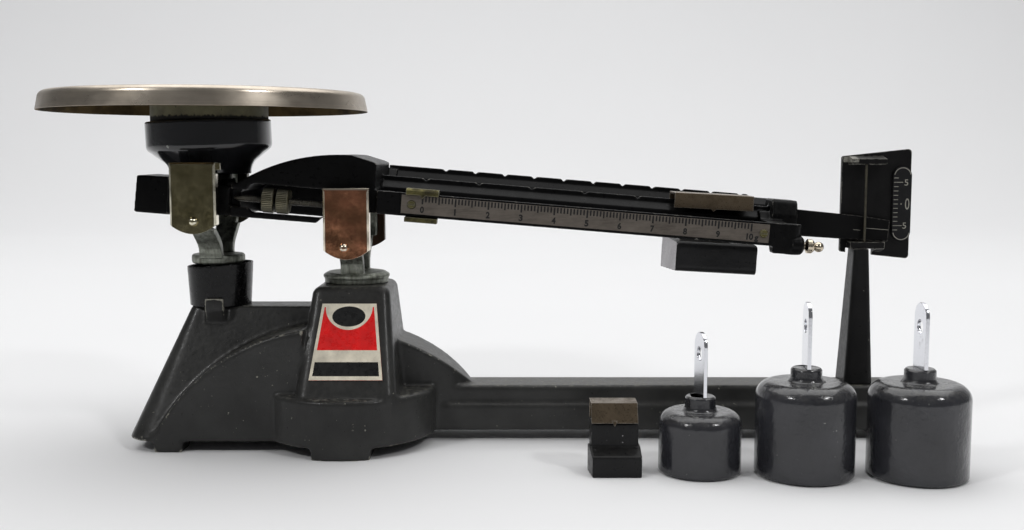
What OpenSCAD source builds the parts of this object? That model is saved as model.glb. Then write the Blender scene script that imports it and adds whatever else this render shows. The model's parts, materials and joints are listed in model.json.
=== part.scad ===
// Triple beam balance with a downturned round plate, sliding poises and hanging weights.
// Frame: origin on the table straight below the fulcrum knife edge, in the middle plane of
// the beam. +X runs along the beam to the indicator, +Y away from the user, +Z up.
// The beam is drawn at rest, with its right end down on the lower stop.

/* [Beam] */
// Height of the fulcrum knife edge above the table
fulcrum_z = 107.3; // [107.1:0.1:107.5]
// Slope of the unloaded beam, right end down, in degrees
beam_tilt = 4.7; // [4.66:0.01:4.72]
// Distance from the fulcrum knife to the pan knife
pan_arm = 67.2; // [67.1:0.05:67.3]
// Distance from the fulcrum knife to the inner end of the load pins
load_arm = 196; // [196:0.5:197]
// Length of one gram on the front scale
gram_pitch = 14.39; // [14.2:0.01:14.43]
// Spacing of the notches of the middle rail
middle_pitch = 24.5; // [24:0.1:24.6]
// Spacing of the notches of the rear rail
rear_pitch = 14.39; // [14.2:0.01:14.5]

/* [Plate and its support] */
// Outer diameter of the weighing plate
plate_d = 145.8; // [144:0.1:148]
// Thickness of the plate's sheet
plate_t = 1.0; // [0.8:0.1:1.2]
// Outer diameter of the bowl that carries the plate
bowl_d = 56; // [55:0.2:56.6]

/* [Base] */
// Height of the left housing
housing_z = 61.8; // [61.6:0.1:62]
// Wall thickness of the casting
wall = 4; // [3.5:0.1:4.2]
// Radius of the arched front panel
arch_r = 87.3; // [86:0.1:88.5]
// Radius of the round pad under the pedestal
pad_r = 39.4; // [39:0.1:40]
// Right end of the base bar
bar_end_x = 252; // [251:0.5:256]

/* [Indicator] */
// Height of the post's top face
post_z = 87.6; // [87.5:0.1:87.7]
// Thickness of the bracket plate
bracket_t = 2; // [1.8:0.1:2.4]
// Width of the raised dial
dial_w = 8.6; // [8:0.1:8.8]
// Height of the raised dial
dial_h = 34.2; // [32:0.2:35]

/* [Hanging weights] */
// Radius of the small weight
small_r = 17; // [16:0.5:18]
// Height of the small weight's body
small_h = 25.7; // [25:0.1:27]
// Radius of each large weight
large_r = 20.2; // [19.5:0.1:20.6]
// Height of each large weight's body
large_h = 38.8; // [38:0.1:40]
// Radius of the hanging hole in each strap
strap_hole_r = 2.9; // [2.7:0.1:3.1]

/* [Hidden] */

// Fine facets for exact round parts, coarse facets for the corners of a hull
$fn = 64;
hull_fn = 32;
// Smallest gap between two pieces that touch
gap = 0.02;

// Beam geometry, along the beam (u), across it (Y) and above its knife line (w)
pan_x = -pan_arm * cos(beam_tilt);
pan_z = fulcrum_z + pan_arm * sin(beam_tilt);
hump_r = 84;
hump_top = 23.2;
hump_end_u = 11;
wall_front_y = -24;
wall_back_y = 24;
front_rail_y = [-28, -25.6];
rail_end_u = 186;
front_rail_w = [-1.15, 9];
middle_rib_w = 15.1;
rear_rib_w = 19.4;
first_middle_u = 31.3;
first_rear_u = 38.45;
scale_zero_u = 32.7;
scale_y = -29.02;
scale_t = 1;
scale_end_u = scale_zero_u + 10 * gram_pitch + 8;
scale_screw_u = [28, scale_end_u - 2.4];
pointer_tip_u = 246;
pointer_t = 1.6;
zero_axis = [-19, 0.4];
poise_u = 163;
poise_hang = -1.6;
poise_100_x = 104.2;
pin_y = 26;
lobe_u = 195;
end_wall_u = 194.5;
boss_end_u = 201.5;
lobe_r = 4.2;

// Knives and agates
knife_h = 6;
knife_w = 5;
agate_w = 8;
fulcrum_knife_end = 29.6;
pan_knife_end = 27.4;
arm_y = [25, 29];
pan_arm_y = [23.2, 27];

// Check link, parallel to the pan arm of the beam and as long
link_x = 3;
link_z = 30;
stem_pivot_x = link_x + pan_x;
stem_pivot_z = link_z + pan_arm * sin(beam_tilt);
link_pin_r = 2;
link_bore_r = 2.05;
stem_r = 4;
stem_hole_r = 6.5;

// Pedestal, a block with leaning sides and round corners
ped_bottom = [[-17, -38], [17, -38], [17, 19], [-17, 19]];
ped_top = [[-13.5, -18], [13.5, -18], [13.5, 14], [-13.5, 14]];
ped_bottom_r = 5;
ped_top_r = 4;
ped_bottom_z = 27;
ped_top_z = 72;
face_run = ped_top[0][1] - ped_bottom[0][1] + ped_bottom_r;
face_rise = ped_top_z - ped_top_r - ped_bottom_z;
face_reach = sqrt(face_run * face_run + face_rise * face_rise);
face_lean = atan(face_run / face_rise) - asin(ped_top_r / face_reach);

// Base casting
foot_h = 4.8;
arch_centre = [-7.7, -32.1];
arch_front_y = -34;
arch_depth = 34;
nose_r = 84;
nose_centre_x = 22;
nose_half = [31.8, 14.5];
pad_centre = [-2.1, -9.2];
pad_top = 26;
bar_top = 25.2;
bar_step = 17.1;

// Indicator bracket, with edges that point at the fulcrum
bracket_x = [224.4, 256.4];
bracket_y = 2.4;
bracket_slope_up = 0.1;
bracket_slope_down = 0.096;
bracket_corner_r = 1.6;
lip_x = [227.5, 243.3];
lip_front_y = -3.6;
lower_stop_z = 90.7;
upper_stop_z = 126.3;
dial_centre = [252.1, 108.1];
dial_raise = 1.6;
guard_xy = [234.1, -2.7];
guard_r = 0.6;
bracket_screw_xy = [231.2, -0.5];
post_x = 232.3;

// Covers of the knife ends
cover_w = 20;
cover_h = 31;
cover_t = 0.8;
cover_depth = 5;
cover_sag = 4;

// Middle of the carrier, which leans a little to the left
carrier_x = -64.2;
cup_x = carrier_x + 1;
bowl_x = -66.2;
bowl_lean = -1.8;
bowl_rise = 24.1;
seat_r = 26.2;
seat_top = 157.56;
plate_x = -67.4;
plate_z = [150.2, 158.6];

// Turn of each weight's strap about its own upright axis
strap_turns = [-80, -94, -88];

// Points on a circular arc
function arc(centre, r, from, to, steps = 8) =
    [for (i = [0 : steps]) centre + r * [cos(from + (to - from) * i / steps),
                                          sin(from + (to - from) * i / steps)]];

// Puts the beam's own frame at the fulcrum, tilted as it rests
module on_beam() {
    translate([0, 0, fulcrum_z]) rotate([0, beam_tilt, 0]) children();
}

// Turns a flat outline given as (X, Z) into a slab between two Y values
module slab(y0, y1) {
    translate([0, y1, 0]) rotate([90, 0, 0]) linear_extrude(y1 - y0) children();
}

// Turns a flat cross-section given as (Y, Z) into a rail between two X values
module rail(x0, x1) {
    translate([x0, 0, 0]) rotate([90, 0, 90]) linear_extrude(x1 - x0) children();
}

// Pin along Y
module pin_y_axis(x, z, r, y0, y1) {
    translate([x, y1, z]) rotate([90, 0, 0]) cylinder(r = r, h = y1 - y0);
}

module both_sides() {
    children();
    mirror([0, 1, 0]) children();
}

// ---- base -------------------------------------------------------------------------

// Housing over the stem, wide at the foot and narrow on top
module housing(inset, top_z, bottom_z) {
    low_r = 12 - inset * 0.8;
    high_r = 4 - inset * 0.7;
    hull() {
        for (x = [-87, -20], y = [-22, 22])
            translate([x, y, bottom_z]) cylinder(r = low_r, h = 1, $fn = hull_fn);
        for (x = [-71, -20], y = [-5, 4.6])
            translate([x, y, top_z - 1]) cylinder(r = high_r, h = 1, $fn = hull_fn);
    }
}

module pedestal(inset, bottom_z) {
    hull() {
        for (p = ped_bottom)
            translate([p[0], p[1], bottom_z])
                cylinder(r = ped_bottom_r - inset, h = ped_bottom_z - bottom_z, $fn = hull_fn);
        for (p = ped_top)
            translate([p[0], p[1], ped_top_z - ped_top_r])
                sphere(r = ped_top_r - inset, $fn = hull_fn);
    }
}

// Arched panel in front of the housing, left of the pedestal
module arch(inset) {
    intersection() {
        pin_y_axis(arch_centre[0], arch_centre[1], arch_r - inset,
                   arch_front_y + inset, arch_front_y + arch_depth + inset / 4);
        translate([-110, -60, foot_h - inset]) cube([100, 90, 120]);
    }
}

// Room in front of the pedestal's leaning face, which the arch leaves free
module before_pedestal() {
    face_y = ped_bottom[0][1] - ped_bottom_r + 0.4;
    top_y = ped_top[0][1];
    intersection() {
        rail(-30, 60) polygon([[-60, pad_top], [face_y, pad_top], [face_y, ped_bottom_z],
                               [top_y - 3.4, ped_top_z - ped_top_r], [top_y, 80], [-60, 80]]);
        slab(-60, 0) polygon([[ped_bottom[0][0] - ped_bottom_r, pad_top],
                              [ped_top[0][0] - ped_top_r, ped_top_z], [60, 80],
                              [60, pad_top]]);
    }
}

// Nose on the bar, right of the pedestal, that runs out to a point
module nose(inset) {
    intersection() {
        pin_y_axis(arch_centre[0], arch_centre[1], nose_r - inset, -20, 20);
        translate([nose_centre_x, -0.5, 10]) linear_extrude(60)
            polygon([for (i = [0 : 47]) let (a = i * 360 / 48)
                [(nose_half[0] - inset) * cos(a), (nose_half[1] - inset) * sin(a)]]);
        translate([0, -30, 10]) cube([80, 60, 60]);
    }
}

// Round pad with a small round on its upper edge
module pad(inset) {
    r = pad_r - inset;
    top = pad_top - inset;
    translate([pad_centre[0], pad_centre[1], 0]) rotate_extrude($fn = 128)
        polygon(concat([[0, foot_h - inset], [r, foot_h - inset]],
                       arc([r - 1.5, top - 1.5], 1.5, 0, 90, 6), [[0, top]]));
}

// Cross-section of the bar: a wide foot under a narrower top, both with broken edges
module bar_outline(inset) {
    z0 = foot_h - inset;
    z1 = bar_step - inset;
    z2 = bar_top - inset;
    polygon([
        [-13 + inset, z0], [12.5 - inset, z0], [12.5 - inset, z1 - 1], [11.5 - inset, z1],
        [10.5 - inset, z1], [10.5 - inset, z2 - 1.2], [9.3 - inset, z2],
        [-9.8 + inset, z2], [-11 + inset, z2 - 1.2], [-11 + inset, z1],
        [-12 + inset, z1], [-13 + inset, z1 - 1]
    ]);
}

module feet() {
    for (y = [-34, 20]) translate([-86, y, 0]) cube([12.5, 14, 9]);
    // Bridge foot that crosses under the pad from front to back
    intersection() {
        translate([pad_centre[0], pad_centre[1], 0]) cylinder(r = pad_r, h = 8, $fn = 128);
        translate([-14.5, -52, 0]) cube([25.5, 90, 8]);
    }
    translate([bar_end_x - 13, -13, 0]) cube([11, 25.5, 8]);
}

// Ears inside the pedestal that hold the pin of the check link
module link_ears() {
    for (y = [-9, 3]) translate([link_x - 5, y, link_z - 6]) cube([10, 6, 46]);
}

module base_casting() {
    color("#4a4a4c") difference() {
        union() {
            difference() {
                union() {
                    housing(0, housing_z, foot_h);
                    pedestal(0, foot_h);
                    difference() {
                        arch(0);
                        before_pedestal();
                    }
                    nose(0);
                    pad(0);
                    rail(20, bar_end_x) bar_outline(0);
                }
                housing(wall, housing_z - wall, -1);
                pedestal(wall, -1);
                difference() {
                    arch(wall);
                    translate([0, 0, -wall]) before_pedestal();
                }
                nose(wall);
                pad(wall);
                rail(15, bar_end_x - wall) bar_outline(wall);
                translate([-86, -30, -1]) cube([90, 30, foot_h + 4]);
            }
            feet();
            link_ears();
            // Lug that keeps the cup from moving forward
            rail(-66.8, -58) polygon([[-16, 61], [-16, 65.6], [-15.3, 66.4], [-14.5, 66.4],
                                      [-14.5, housing_z - 0.1], [-9, housing_z - 0.1],
                                      [-9, 56], [-12, 54]]);
            // Boss for the screw of the post
            translate([post_x, 0, 12]) cylinder(r = 5, h = 11);
        }
        translate([carrier_x + 0.3, 0, housing_z - 12]) cylinder(r = stem_hole_r, h = 20);
        // Passage of the check link from the pedestal to the housing
        translate([-72, -2.4, 20]) cube([82, 4.8, 22]);
        pin_y_axis(link_x, link_z, link_pin_r + gap, -12, 12);
        translate([0, 0, 60]) cylinder(r = 2.1, h = 20);
        translate([post_x, 0, 0]) cylinder(r = 2.1, h = 30);
    }
}

// Outline in (Y, Z) of one leg of a yoke: up from the disc, out, and up beside the knife
function leg_outline(z0, bend0, bend1, top, inner, outer) = concat(
    [[8.6, z0]], s_curve([8.6, bend0], [inner, bend1]),
    [[inner, top - 1], [inner + 1, top], [outer - 1, top], [outer, top - 1]],
    s_curve([outer, bend1 - 1.6], [12.4, bend0 - 1.6]), [[12.4, z0]]);

// Points of a smooth bend between two points, upright at both ends
function s_curve(a, b, steps = 8) =
    [for (i = [0 : steps]) [a[0] + (b[0] - a[0]) * (1 - cos(180 * i / steps)) / 2,
                            a[1] + (b[1] - a[1]) * i / steps]];

// Leg with one width below a height and another above it
module yoke_leg(low_x, high_x, split_z, outline) {
    rail(low_x[0], low_x[1]) intersection() {
        polygon(outline);
        square([60, split_z + 1]);
    }
    rail(high_x[0], high_x[1]) intersection() {
        polygon(outline);
        translate([0, split_z]) square([60, 60]);
    }
}

module fulcrum_yoke() {
    color("#8a8f86") difference() {
        union() {
            translate([0, 0, ped_top_z + gap]) rotate_extrude()
                polygon(concat([[0, 0], [14.6, 0], [14.6, 1.2]],
                               arc([14.3, 3.2], 1, -60, 80, 6), [[13.2, 5], [0, 5]]));
            both_sides() yoke_leg([-5.6, 4.8], [-6.5, 6.5], 92,
                leg_outline(76, 81, 98, fulcrum_z + 4, arm_y[0], arm_y[1]));
        }
        // Seats of the agates, open at the top for the knife
        both_sides() translate([-agate_w / 2 - gap, arm_y[0] - 1, fulcrum_z - 4 - gap])
            cube([agate_w + 2 * gap, 6, 12]);
        both_sides() pin_y_axis(-1, 90.5, 1.3, 10, 30);
        translate([0, 0, 60]) cylinder(r = 2.1, h = 30);
        translate([0, 0, ped_top_z + 3.4]) cylinder(r = 4.1, h = 10);
    }
}

// Cheese-head screw that holds the fulcrum yoke down
module yoke_screw() {
    color("#77736a") difference() {
        union() {
            translate([0, 0, 62]) cylinder(r = 2, h = ped_top_z + 3.5 - 62);
            translate([0, 0, ped_top_z + 3.42]) cylinder(r = 3.9, h = 2.6);
        }
        translate([-5, -0.5, ped_top_z + 5]) cube([10, 1, 3]);
    }
}

// Agate block with a wide V groove along Y, its vertex at the local origin
module agate(y0, y1) {
    slab(y0, y1) polygon([[-agate_w / 2, -4], [agate_w / 2, -4], [agate_w / 2, 1],
                          [2.4, 1], [0, -gap], [-2.4, 1], [-agate_w / 2, 1]]);
}

module fulcrum_agates() {
    color("#7d3b30") translate([0, 0, fulcrum_z])
        both_sides() agate(arm_y[0], arm_y[1]);
}

// Outline of a cover in (X, Z): straight sides and a rounded lower edge
function cover_outline(inset, low) = concat(
    [[cover_w / 2 - inset, low], [cover_w / 2 - inset, cover_h - inset],
     [inset - cover_w / 2, cover_h - inset], [inset - cover_w / 2, low]],
    [for (i = [1 : 11]) let (x = -cover_w / 2 + inset + (cover_w - 2 * inset) * i / 12)
        [x, low - cover_sag * (1 - pow(2 * x / cover_w, 2))]]);

// Pressed cover with folded top and sides, its front face at the given Y.
// The screw hole is screw_z above the lowest point of the outline.
module cover(x, z, front_y, screw_x, screw_z) {
    translate([x, 0, z]) difference() {
        hull() {
            slab(front_y, front_y + 0.1) intersection() {
                polygon(cover_outline(0, cover_sag));
                translate([-cover_w / 2 + 0.9, -10])
                    square([cover_w - 1.8, cover_h + 10 - 1.6]);
            }
            slab(front_y + 0.8, front_y + cover_depth) polygon(cover_outline(0, cover_sag));
        }
        slab(front_y + cover_t, front_y + cover_depth + 1)
            polygon(concat([[cover_w / 2 - cover_t, -2],
                            [cover_w / 2 - cover_t, cover_h - cover_t],
                            [cover_t - cover_w / 2, cover_h - cover_t],
                            [cover_t - cover_w / 2, -2]]));
        pin_y_axis(screw_x, screw_z, 1.3, front_y - 1, front_y + 3);
    }
}

module fulcrum_covers() {
    color("#8a5a3c") both_sides() cover(0, fulcrum_z - 22, -32.4, -1, 5.2);
}

// Round-head screw through a cover, its head outside
module cover_screw(x, z, front_y, reach) {
    translate([x, front_y - gap, z]) rotate([-90, 0, 0]) {
        cylinder(r = 1.25, h = reach);
        difference() {
            rotate([180, 0, 0]) rotate_extrude()
                polygon(concat([[0, 0]], arc([0, 0], 2.1, 0, 90, 8)));
            translate([-3, -0.25, -3]) cube([6, 0.5, 1.9]);
        }
    }
}

module fulcrum_cover_screws() {
    color("#8c6a48") both_sides() cover_screw(-1, 90.5, -32.4, 16);
}

// Metal label on the leaning front of the pedestal, left blank
module nameplate() {
    bottom_run = 33.5 - ped_bottom_z;
    plate_len = 35;
    color("#c8302c")
        translate([0, ped_bottom[0][1] - ped_bottom_r, ped_bottom_z])
        rotate([-face_lean, 0, 0])
        translate([0, -gap, bottom_run / cos(face_lean)])
        slab(-0.5, 0)
        polygon([[-16, 0], [16, 0], [12, plate_len], [-12, plate_len]]);
}

// Black cup around the stem, narrower at the foot, its rim cut aslant
module stem_cup() {
    color("#17171a") difference() {
        translate([cup_x, 0, housing_z + gap]) rotate_extrude()
            polygon([[7, 0], [13.8, 0], [15, 20.6], [14.25, 20.6], [14.25, 14.6],
                     [13.4, 12.4], [13.4, 10.4], [12.4, 9], [12.4, 3.5], [7, 3.5]]);
        translate([cup_x, 0, housing_z + 18.8]) rotate([0, -3.6, 0])
            translate([-30, -30, 0]) cube([60, 60, 10]);
    }
}

module link_pivot_pin() {
    color("#a9a9a5") {
        pin_y_axis(link_x, link_z, link_pin_r, -9.6, 9.6);
    }
}

module indicator_post() {
    color("#4a4a4c") difference() {
        hull() {
            for (x = [227.3, 236.2], y = [-6.5, 6])
                translate([x, y, bar_top + gap]) cylinder(r = 2, h = 1, $fn = hull_fn);
            for (x = [230.9, 233.8], y = [-4, 4])
                translate([x, y, post_z - 1]) cylinder(r = 2, h = 1, $fn = hull_fn);
        }
        translate([post_x, 0, bar_top - 1]) cylinder(r = 2.05, h = 13);
        translate([bracket_screw_xy[0], bracket_screw_xy[1], post_z - 8])
            cylinder(r = 1.3, h = 10);
    }
}

// Pan-head screw that comes up through the bar into the post
module post_screw() {
    color("#77736a") difference() {
        union() {
            translate([post_x, 0, 11]) cylinder(r = 2, h = 25);
            translate([post_x, 0, 8.6]) cylinder(r = 3.9, h = 3.35);
        }
        translate([post_x - 5.5, -0.5, 8]) cube([11, 1, 1.8]);
    }
}

function edge_up(x) = fulcrum_z + 0.3 + bracket_slope_up * x;
function edge_down(x) = fulcrum_z - bracket_slope_down * x;

// Lip of the bracket in (Y, Z): flat inner face, bevelled outer face
module lip(inner_z, face_h, root_z) {
    rail(lip_x[0], lip_x[1]) polygon([[lip_front_y, inner_z], [bracket_y + 1, inner_z],
        [bracket_y + 1, root_z], [bracket_y, root_z], [lip_front_y, inner_z + face_h]]);
}

module indicator_bracket() {
    x0 = bracket_x[0];
    x1 = bracket_x[1];
    c = bracket_corner_r;
    color("#141416") difference() {
        union() {
            slab(bracket_y, bracket_y + bracket_t) polygon(concat(
                [[x0, edge_down(x0) + 0.6], [x0 + 0.6, edge_down(x0)]],
                arc([x1 - c, edge_down(x1) + c], c, -90, 0, 6),
                arc([x1 - c, edge_up(x1) - c], c, 0, 90, 6),
                [[x0 + 0.6, edge_up(x0)], [x0, edge_up(x0) - 0.6]]));
            lip(lower_stop_z, post_z - lower_stop_z, edge_down(lip_x[0]) + 0.4);
            lip(upper_stop_z, 2.5, edge_up(lip_x[0]) - 0.4);
        }
        // Flat underside that stands on the post
        translate([227, -10, post_z - 20 + gap]) cube([12.4, 20, 20]);
        for (z = [post_z - 1, upper_stop_z - 1])
            translate([guard_xy[0], guard_xy[1], z]) cylinder(r = guard_r + gap, h = 5);
        translate([bracket_screw_xy[0], bracket_screw_xy[1], post_z - 1])
            cylinder(r = 1.3, h = 5);
        translate([bracket_screw_xy[0], bracket_screw_xy[1], lower_stop_z - 1.2])
            cylinder(r1 = 1.3, r2 = 2.6, h = 1.3);
    }
}

module bracket_screw() {
    color("#77736a") translate([bracket_screw_xy[0], bracket_screw_xy[1], 0])
        difference() {
            union() {
                translate([0, 0, post_z - 6]) cylinder(r = 1.2, h = lower_stop_z - post_z + 5.2);
                translate([0, 0, lower_stop_z - 1.2]) cylinder(r1 = 1.2, r2 = 2.4, h = 1.2);
            }
            translate([-3, -0.25, lower_stop_z - 0.6]) cube([6, 0.5, 1]);
        }
}

// Raised dial, a slot shape standing on the bracket plate
module indicator_dial() {
    r = dial_w / 2;
    y = bracket_y - gap;
    color("#1b1b1d") translate([dial_centre[0], 0, dial_centre[1]]) {
        slab(y - dial_raise, y) {
            for (s = [-1, 1]) translate([0, s * (dial_h / 2 - r)]) circle(r = r);
            square([dial_w, dial_h - 2 * r], center = true);
        }
    }
}

module guard_rod() {
    color("#8f9088") translate([guard_xy[0], guard_xy[1], post_z + 0.5])
        cylinder(r = guard_r, h = upper_stop_z + 1.8 - post_z - 0.5);
}

// ---- beam -------------------------------------------------------------------------

// Side outline of the left end of the beam, from the tail to the end of the hump
module hump_outline(inset) {
    centre = [0, hump_top - hump_r];
    polygon(concat(
        [[hump_end_u - inset, -1.15], [-7, -1.15], [-14, -7.75], [-52 + inset, -7.75]],
        [[-52 + inset, 6.2 - inset]],
        arc(centre, hump_r - inset, 90 + asin(49 / hump_r), 90, 16),
        [[9 - inset, 21.2 - inset], [hump_end_u - inset, 20.4 - inset]]));
}

module tail_outline() {
    polygon([[-97.7, -9.6], [-97.2, 6.2], [-95.9, 6.5], [-80, 6.9], [-76, 5], [-50, 5],
             [-50, -7.75], [-76, -8], [-82, -10.2], [-97, -10.2]]);
}

// Window in the front wall that shows the zero screw
module window_outline() {
    r = 3.4;
    polygon(concat(arc([-13, 4], r, 0, 90, 6), arc([-41.5, 4], r, 90, 180, 6),
                   arc([-41.5, -1.8], r, 180, 270, 6), arc([-13, -1.8], r, 270, 360, 6)));
}

// Row of V notches across a rib
module notches(first, pitch, count, rib_w, y0, y1, depth) {
    for (k = [0 : count]) translate([first + pitch * k, 0, 0])
        slab(y0, y1) polygon([[-depth, rib_w + 0.01], [0, rib_w - depth],
                              [depth, rib_w + 0.01]]);
}

// Cross wall in (Y, w) that steps up from the front rail to the rear rail
module step_wall_outline(front_bottom) {
    polygon([[-28, front_bottom], [-28, 9], [-24, 9], [-6, 9.6], [-3, 13], [6, 13],
             [24, 13.6], [28, 17.6], [33, 17.6], [33, 5], [24, -1.15], [-22, -1.15],
             [-24, front_bottom]]);
}

module beam_casting() {
    color("#141416") on_beam() difference() {
        union() {
            // Hollow hump
            difference() {
                slab(wall_front_y, wall_back_y) hump_outline(0);
                difference() {
                    slab(wall_front_y + 3.4, wall_back_y - 3) hump_outline(3);
                    // Solid middle that carries the zero screw's right end
                    translate([-12, -24, -20]) cube([5, 12, 60]);
                }
            }
            // Rear crown of the hump
            intersection() {
                slab(wall_back_y - 1, 28) hump_outline(0);
                translate([-60, 0, 12.5]) cube([100, 60, 20]);
            }
            // Block around the pan knife, and the tail
            intersection() {
                slab(-22, 22) tail_outline();
                translate([-80.5, -30, -20]) cube([32, 60, 40]);
            }
            slab(-13, 13) tail_outline();
            // Cross walls at the ends of the rails
            rail(hump_end_u - 3, hump_end_u + 0.6) intersection() {
                step_wall_outline(-1.15);
                translate([-24, -5]) square([48, 40]);
            }
            rail(hump_end_u - 0.3, hump_end_u + 4) intersection() {
                step_wall_outline(-1.15);
                translate([20, -5]) square([20, 40]);
            }
            translate([hump_end_u - 3, -24.3, -1.15]) cube([9, 2.4, 10.1]);
            rail(hump_end_u + 1.5, 20) polygon([[-28, -1.15], [-28, 9], [-24.3, 9],
                                                [-21.9, 9], [-21.9, -1.15]]);
            rail(rail_end_u - 1, end_wall_u) step_wall_outline(-1.15);
            rail(187, end_wall_u) polygon([[-28, -4.2], [-28, 0], [-20, 0], [-20, -2.2],
                                           [-22, -4.2]]);
            // Boss that holds the pointer
            rail(190, boss_end_u) polygon([[-8, -1], [-8, 12], [-6, 17.6], [-4.6, 18.9],
                                           [7.6, 18.9], [9, 17.6], [9, -1]]);
            // Front, middle and rear rails
            rail(19, rail_end_u) polygon([[front_rail_y[0], front_rail_w[0]],
                [front_rail_y[0], front_rail_w[1]], [front_rail_y[1], front_rail_w[1]],
                [front_rail_y[1], front_rail_w[0]]]);
            rail(hump_end_u, end_wall_u) polygon([[-3.5, 5], [-3.5, 9.8], [0.6, 12.9],
                [0.6, middle_rib_w], [2.6, middle_rib_w], [2.6, 11], [5, 9], [5, 5]]);
            rail(hump_end_u, rail_end_u) polygon([[26.5, 8], [26.5, 13.8], [30, 17.3],
                [30, rear_rib_w], [32, rear_rib_w], [32, 16], [33, 14], [33, 8]]);
            rail(rail_end_u - 4, boss_end_u) polygon([[24, 8], [24, 15], [28, 18.2], [32, 18.2],
                                               [33, 17], [33, 8]]);
            // Lobes that carry the load pins
            for (y = [-pin_y + 1, pin_y - 1])
                translate([lobe_u, y, -4.2]) cylinder(r = lobe_r, h = 13.4);
            for (y = [-pin_y, pin_y]) translate([lobe_u, y, 0]) rotate([0, 90, 0]) {
                cylinder(r = 4.2, h = 4.4);
                translate([0, 0, 4.4]) cylinder(r1 = 4.2, r2 = 3, h = 1.2);
            }
            rail(188, end_wall_u) polygon([[20, -4.2], [29, -4.2], [30, 9], [20, 9]]);
        }
        slab(-30, wall_front_y + 5) window_outline();
        // Groove in the knife block that shows the tip of the zero screw
        translate([-53, -30, -3.4]) cube([10, 12.6, 7.8]);
        notches(first_middle_u, middle_pitch, 5, middle_rib_w, 0, 3, 1.3);
        notches(first_rear_u, rear_pitch, 10, rear_rib_w, 29, 33, 1.3);
        // Seats of the two knives
        knife_prism(31, 0.01);
        translate([-pan_arm, 0, 0]) mirror([0, 0, 1]) knife_prism(31, 0.01);
        // Holes of the zero screw, the load pins and the scale screws
        translate([-52, zero_axis[0], zero_axis[1]]) rotate([0, 90, 0])
            cylinder(r = 1.52, h = 45);
        for (y = [-pin_y, pin_y]) translate([190, y, 0]) rotate([0, 90, 0])
            cylinder(r = 1.52, h = 20);
        for (u = scale_screw_u) pin_y_axis(u, 4.1, 0.92, -29, -24);
        // Slot of the pointer
        translate([190, -pointer_t / 2 - gap, 2]) cube([13, pointer_t + 2 * gap, 13.2]);
    }
}

// Triangular steel bar along Y, edge down at the local origin, between two ends
module knife_prism(y_end, clear) {
    w = knife_w / 2 + clear;
    slab(-y_end, y_end) polygon([[0, -clear], [w, knife_h - 2 + clear], [w, knife_h + clear],
                                 [-w, knife_h + clear], [-w, knife_h - 2 + clear]]);
}

module fulcrum_knife() {
    color("#9a9c9e") on_beam() knife_prism(fulcrum_knife_end, 0);
}

module pan_knife() {
    color("#9a9c9e") on_beam() translate([-pan_arm, 0, 0]) mirror([0, 0, 1])
        knife_prism(pan_knife_end, 0);
}

// Flat scale with its two screw holes; its marks are only printed
module scale_plate() {
    color("#8a8177") on_beam() difference() {
        slab(scale_y, scale_y + scale_t - gap)
            polygon([[23.5, 0.1], [scale_end_u, 0.1], [scale_end_u, 8.1], [23.5, 8.1]]);
        for (u = scale_screw_u) pin_y_axis(u, 4.1, 0.92, -31, -27);
    }
}

module scale_screws() {
    color("#6e655a") on_beam() for (u = scale_screw_u) translate([u, 0, 4.1]) {
        pin_y_axis(0, 0, 0.9, scale_y - gap, -25.7);
        difference() {
            translate([0, scale_y - gap, 0]) rotate([90, 0, 0])
                cylinder(r1 = 2, r2 = 1.5, h = 0.7);
            translate([-3, scale_y - 2, -0.2]) cube([6, 1.6, 0.4]);
        }
    }
}

// Fixed threaded rod of the zero adjustment
module zero_screw() {
    color("#6b6a55") on_beam() translate([0, zero_axis[0], zero_axis[1]])
        rotate([0, 90, 0]) {
            translate([0, 0, -51.5]) cylinder(r1 = 0.6, r2 = 1.5, h = 3);
            translate([0, 0, -48.5]) cylinder(r = 1.5, h = 40);
        }
}

// Knurled nut with a bore that clears the rod
module knurled_nut(u0, u1) {
    teeth = 40;
    r = 5.65;
    on_beam() translate([u0, zero_axis[0], zero_axis[1]]) rotate([0, 90, 0])
        difference() {
            rotate_extrude() polygon([[1.54, 0], [r - 0.5, 0], [r, 0.5], [r, u1 - u0 - 0.5],
                                      [r - 0.5, u1 - u0], [1.54, u1 - u0]]);
            for (i = [0 : teeth - 1]) rotate([0, 0, i * 360 / teeth])
                translate([r + 0.1, 0, -1]) rotate([0, 0, 45])
                translate([-0.25, -0.25, 0]) cube([0.5, 0.5, u1 - u0 + 2]);
        }
}

module zero_nut() {
    color("#9a9170") knurled_nut(-38.6, -33.4);
}

module lock_nut() {
    color("#9a9170") knurled_nut(-32.3, -26.8);
}

// Turned pins that the hanging weights hook on, one on each side
module load_pins() {
    color("#b9a98c") on_beam() for (y = [-pin_y, pin_y])
        translate([0, y, 0]) rotate([0, 90, 0]) {
            translate([0, 0, 191]) cylinder(r = 1.5, h = 8);
            translate([0, 0, load_arm]) rotate_extrude() polygon(concat(
                [[0, 0.5], [1.5, 0.5], [1.5, 5], [1.7, 5.4], [3.15, 6.3], [3.15, 8.2],
                 [2.4, 9.1], [1.5, 9.6]],
                arc([0, 11.4], 2.3, -48, 90, 10)));
        }
}

// Flat pointer that tapers to the dial
module pointer() {
    color("#141416") on_beam() slab(-pointer_t / 2, pointer_t / 2)
        polygon([[191, 2.7], [199, 2.7], [pointer_tip_u, 3.49],
                 [pointer_tip_u, 13.4], [232, 14.4], [199, 15.05], [191, 15.05]]);
}

// ---- carrier ----------------------------------------------------------------------

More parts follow.
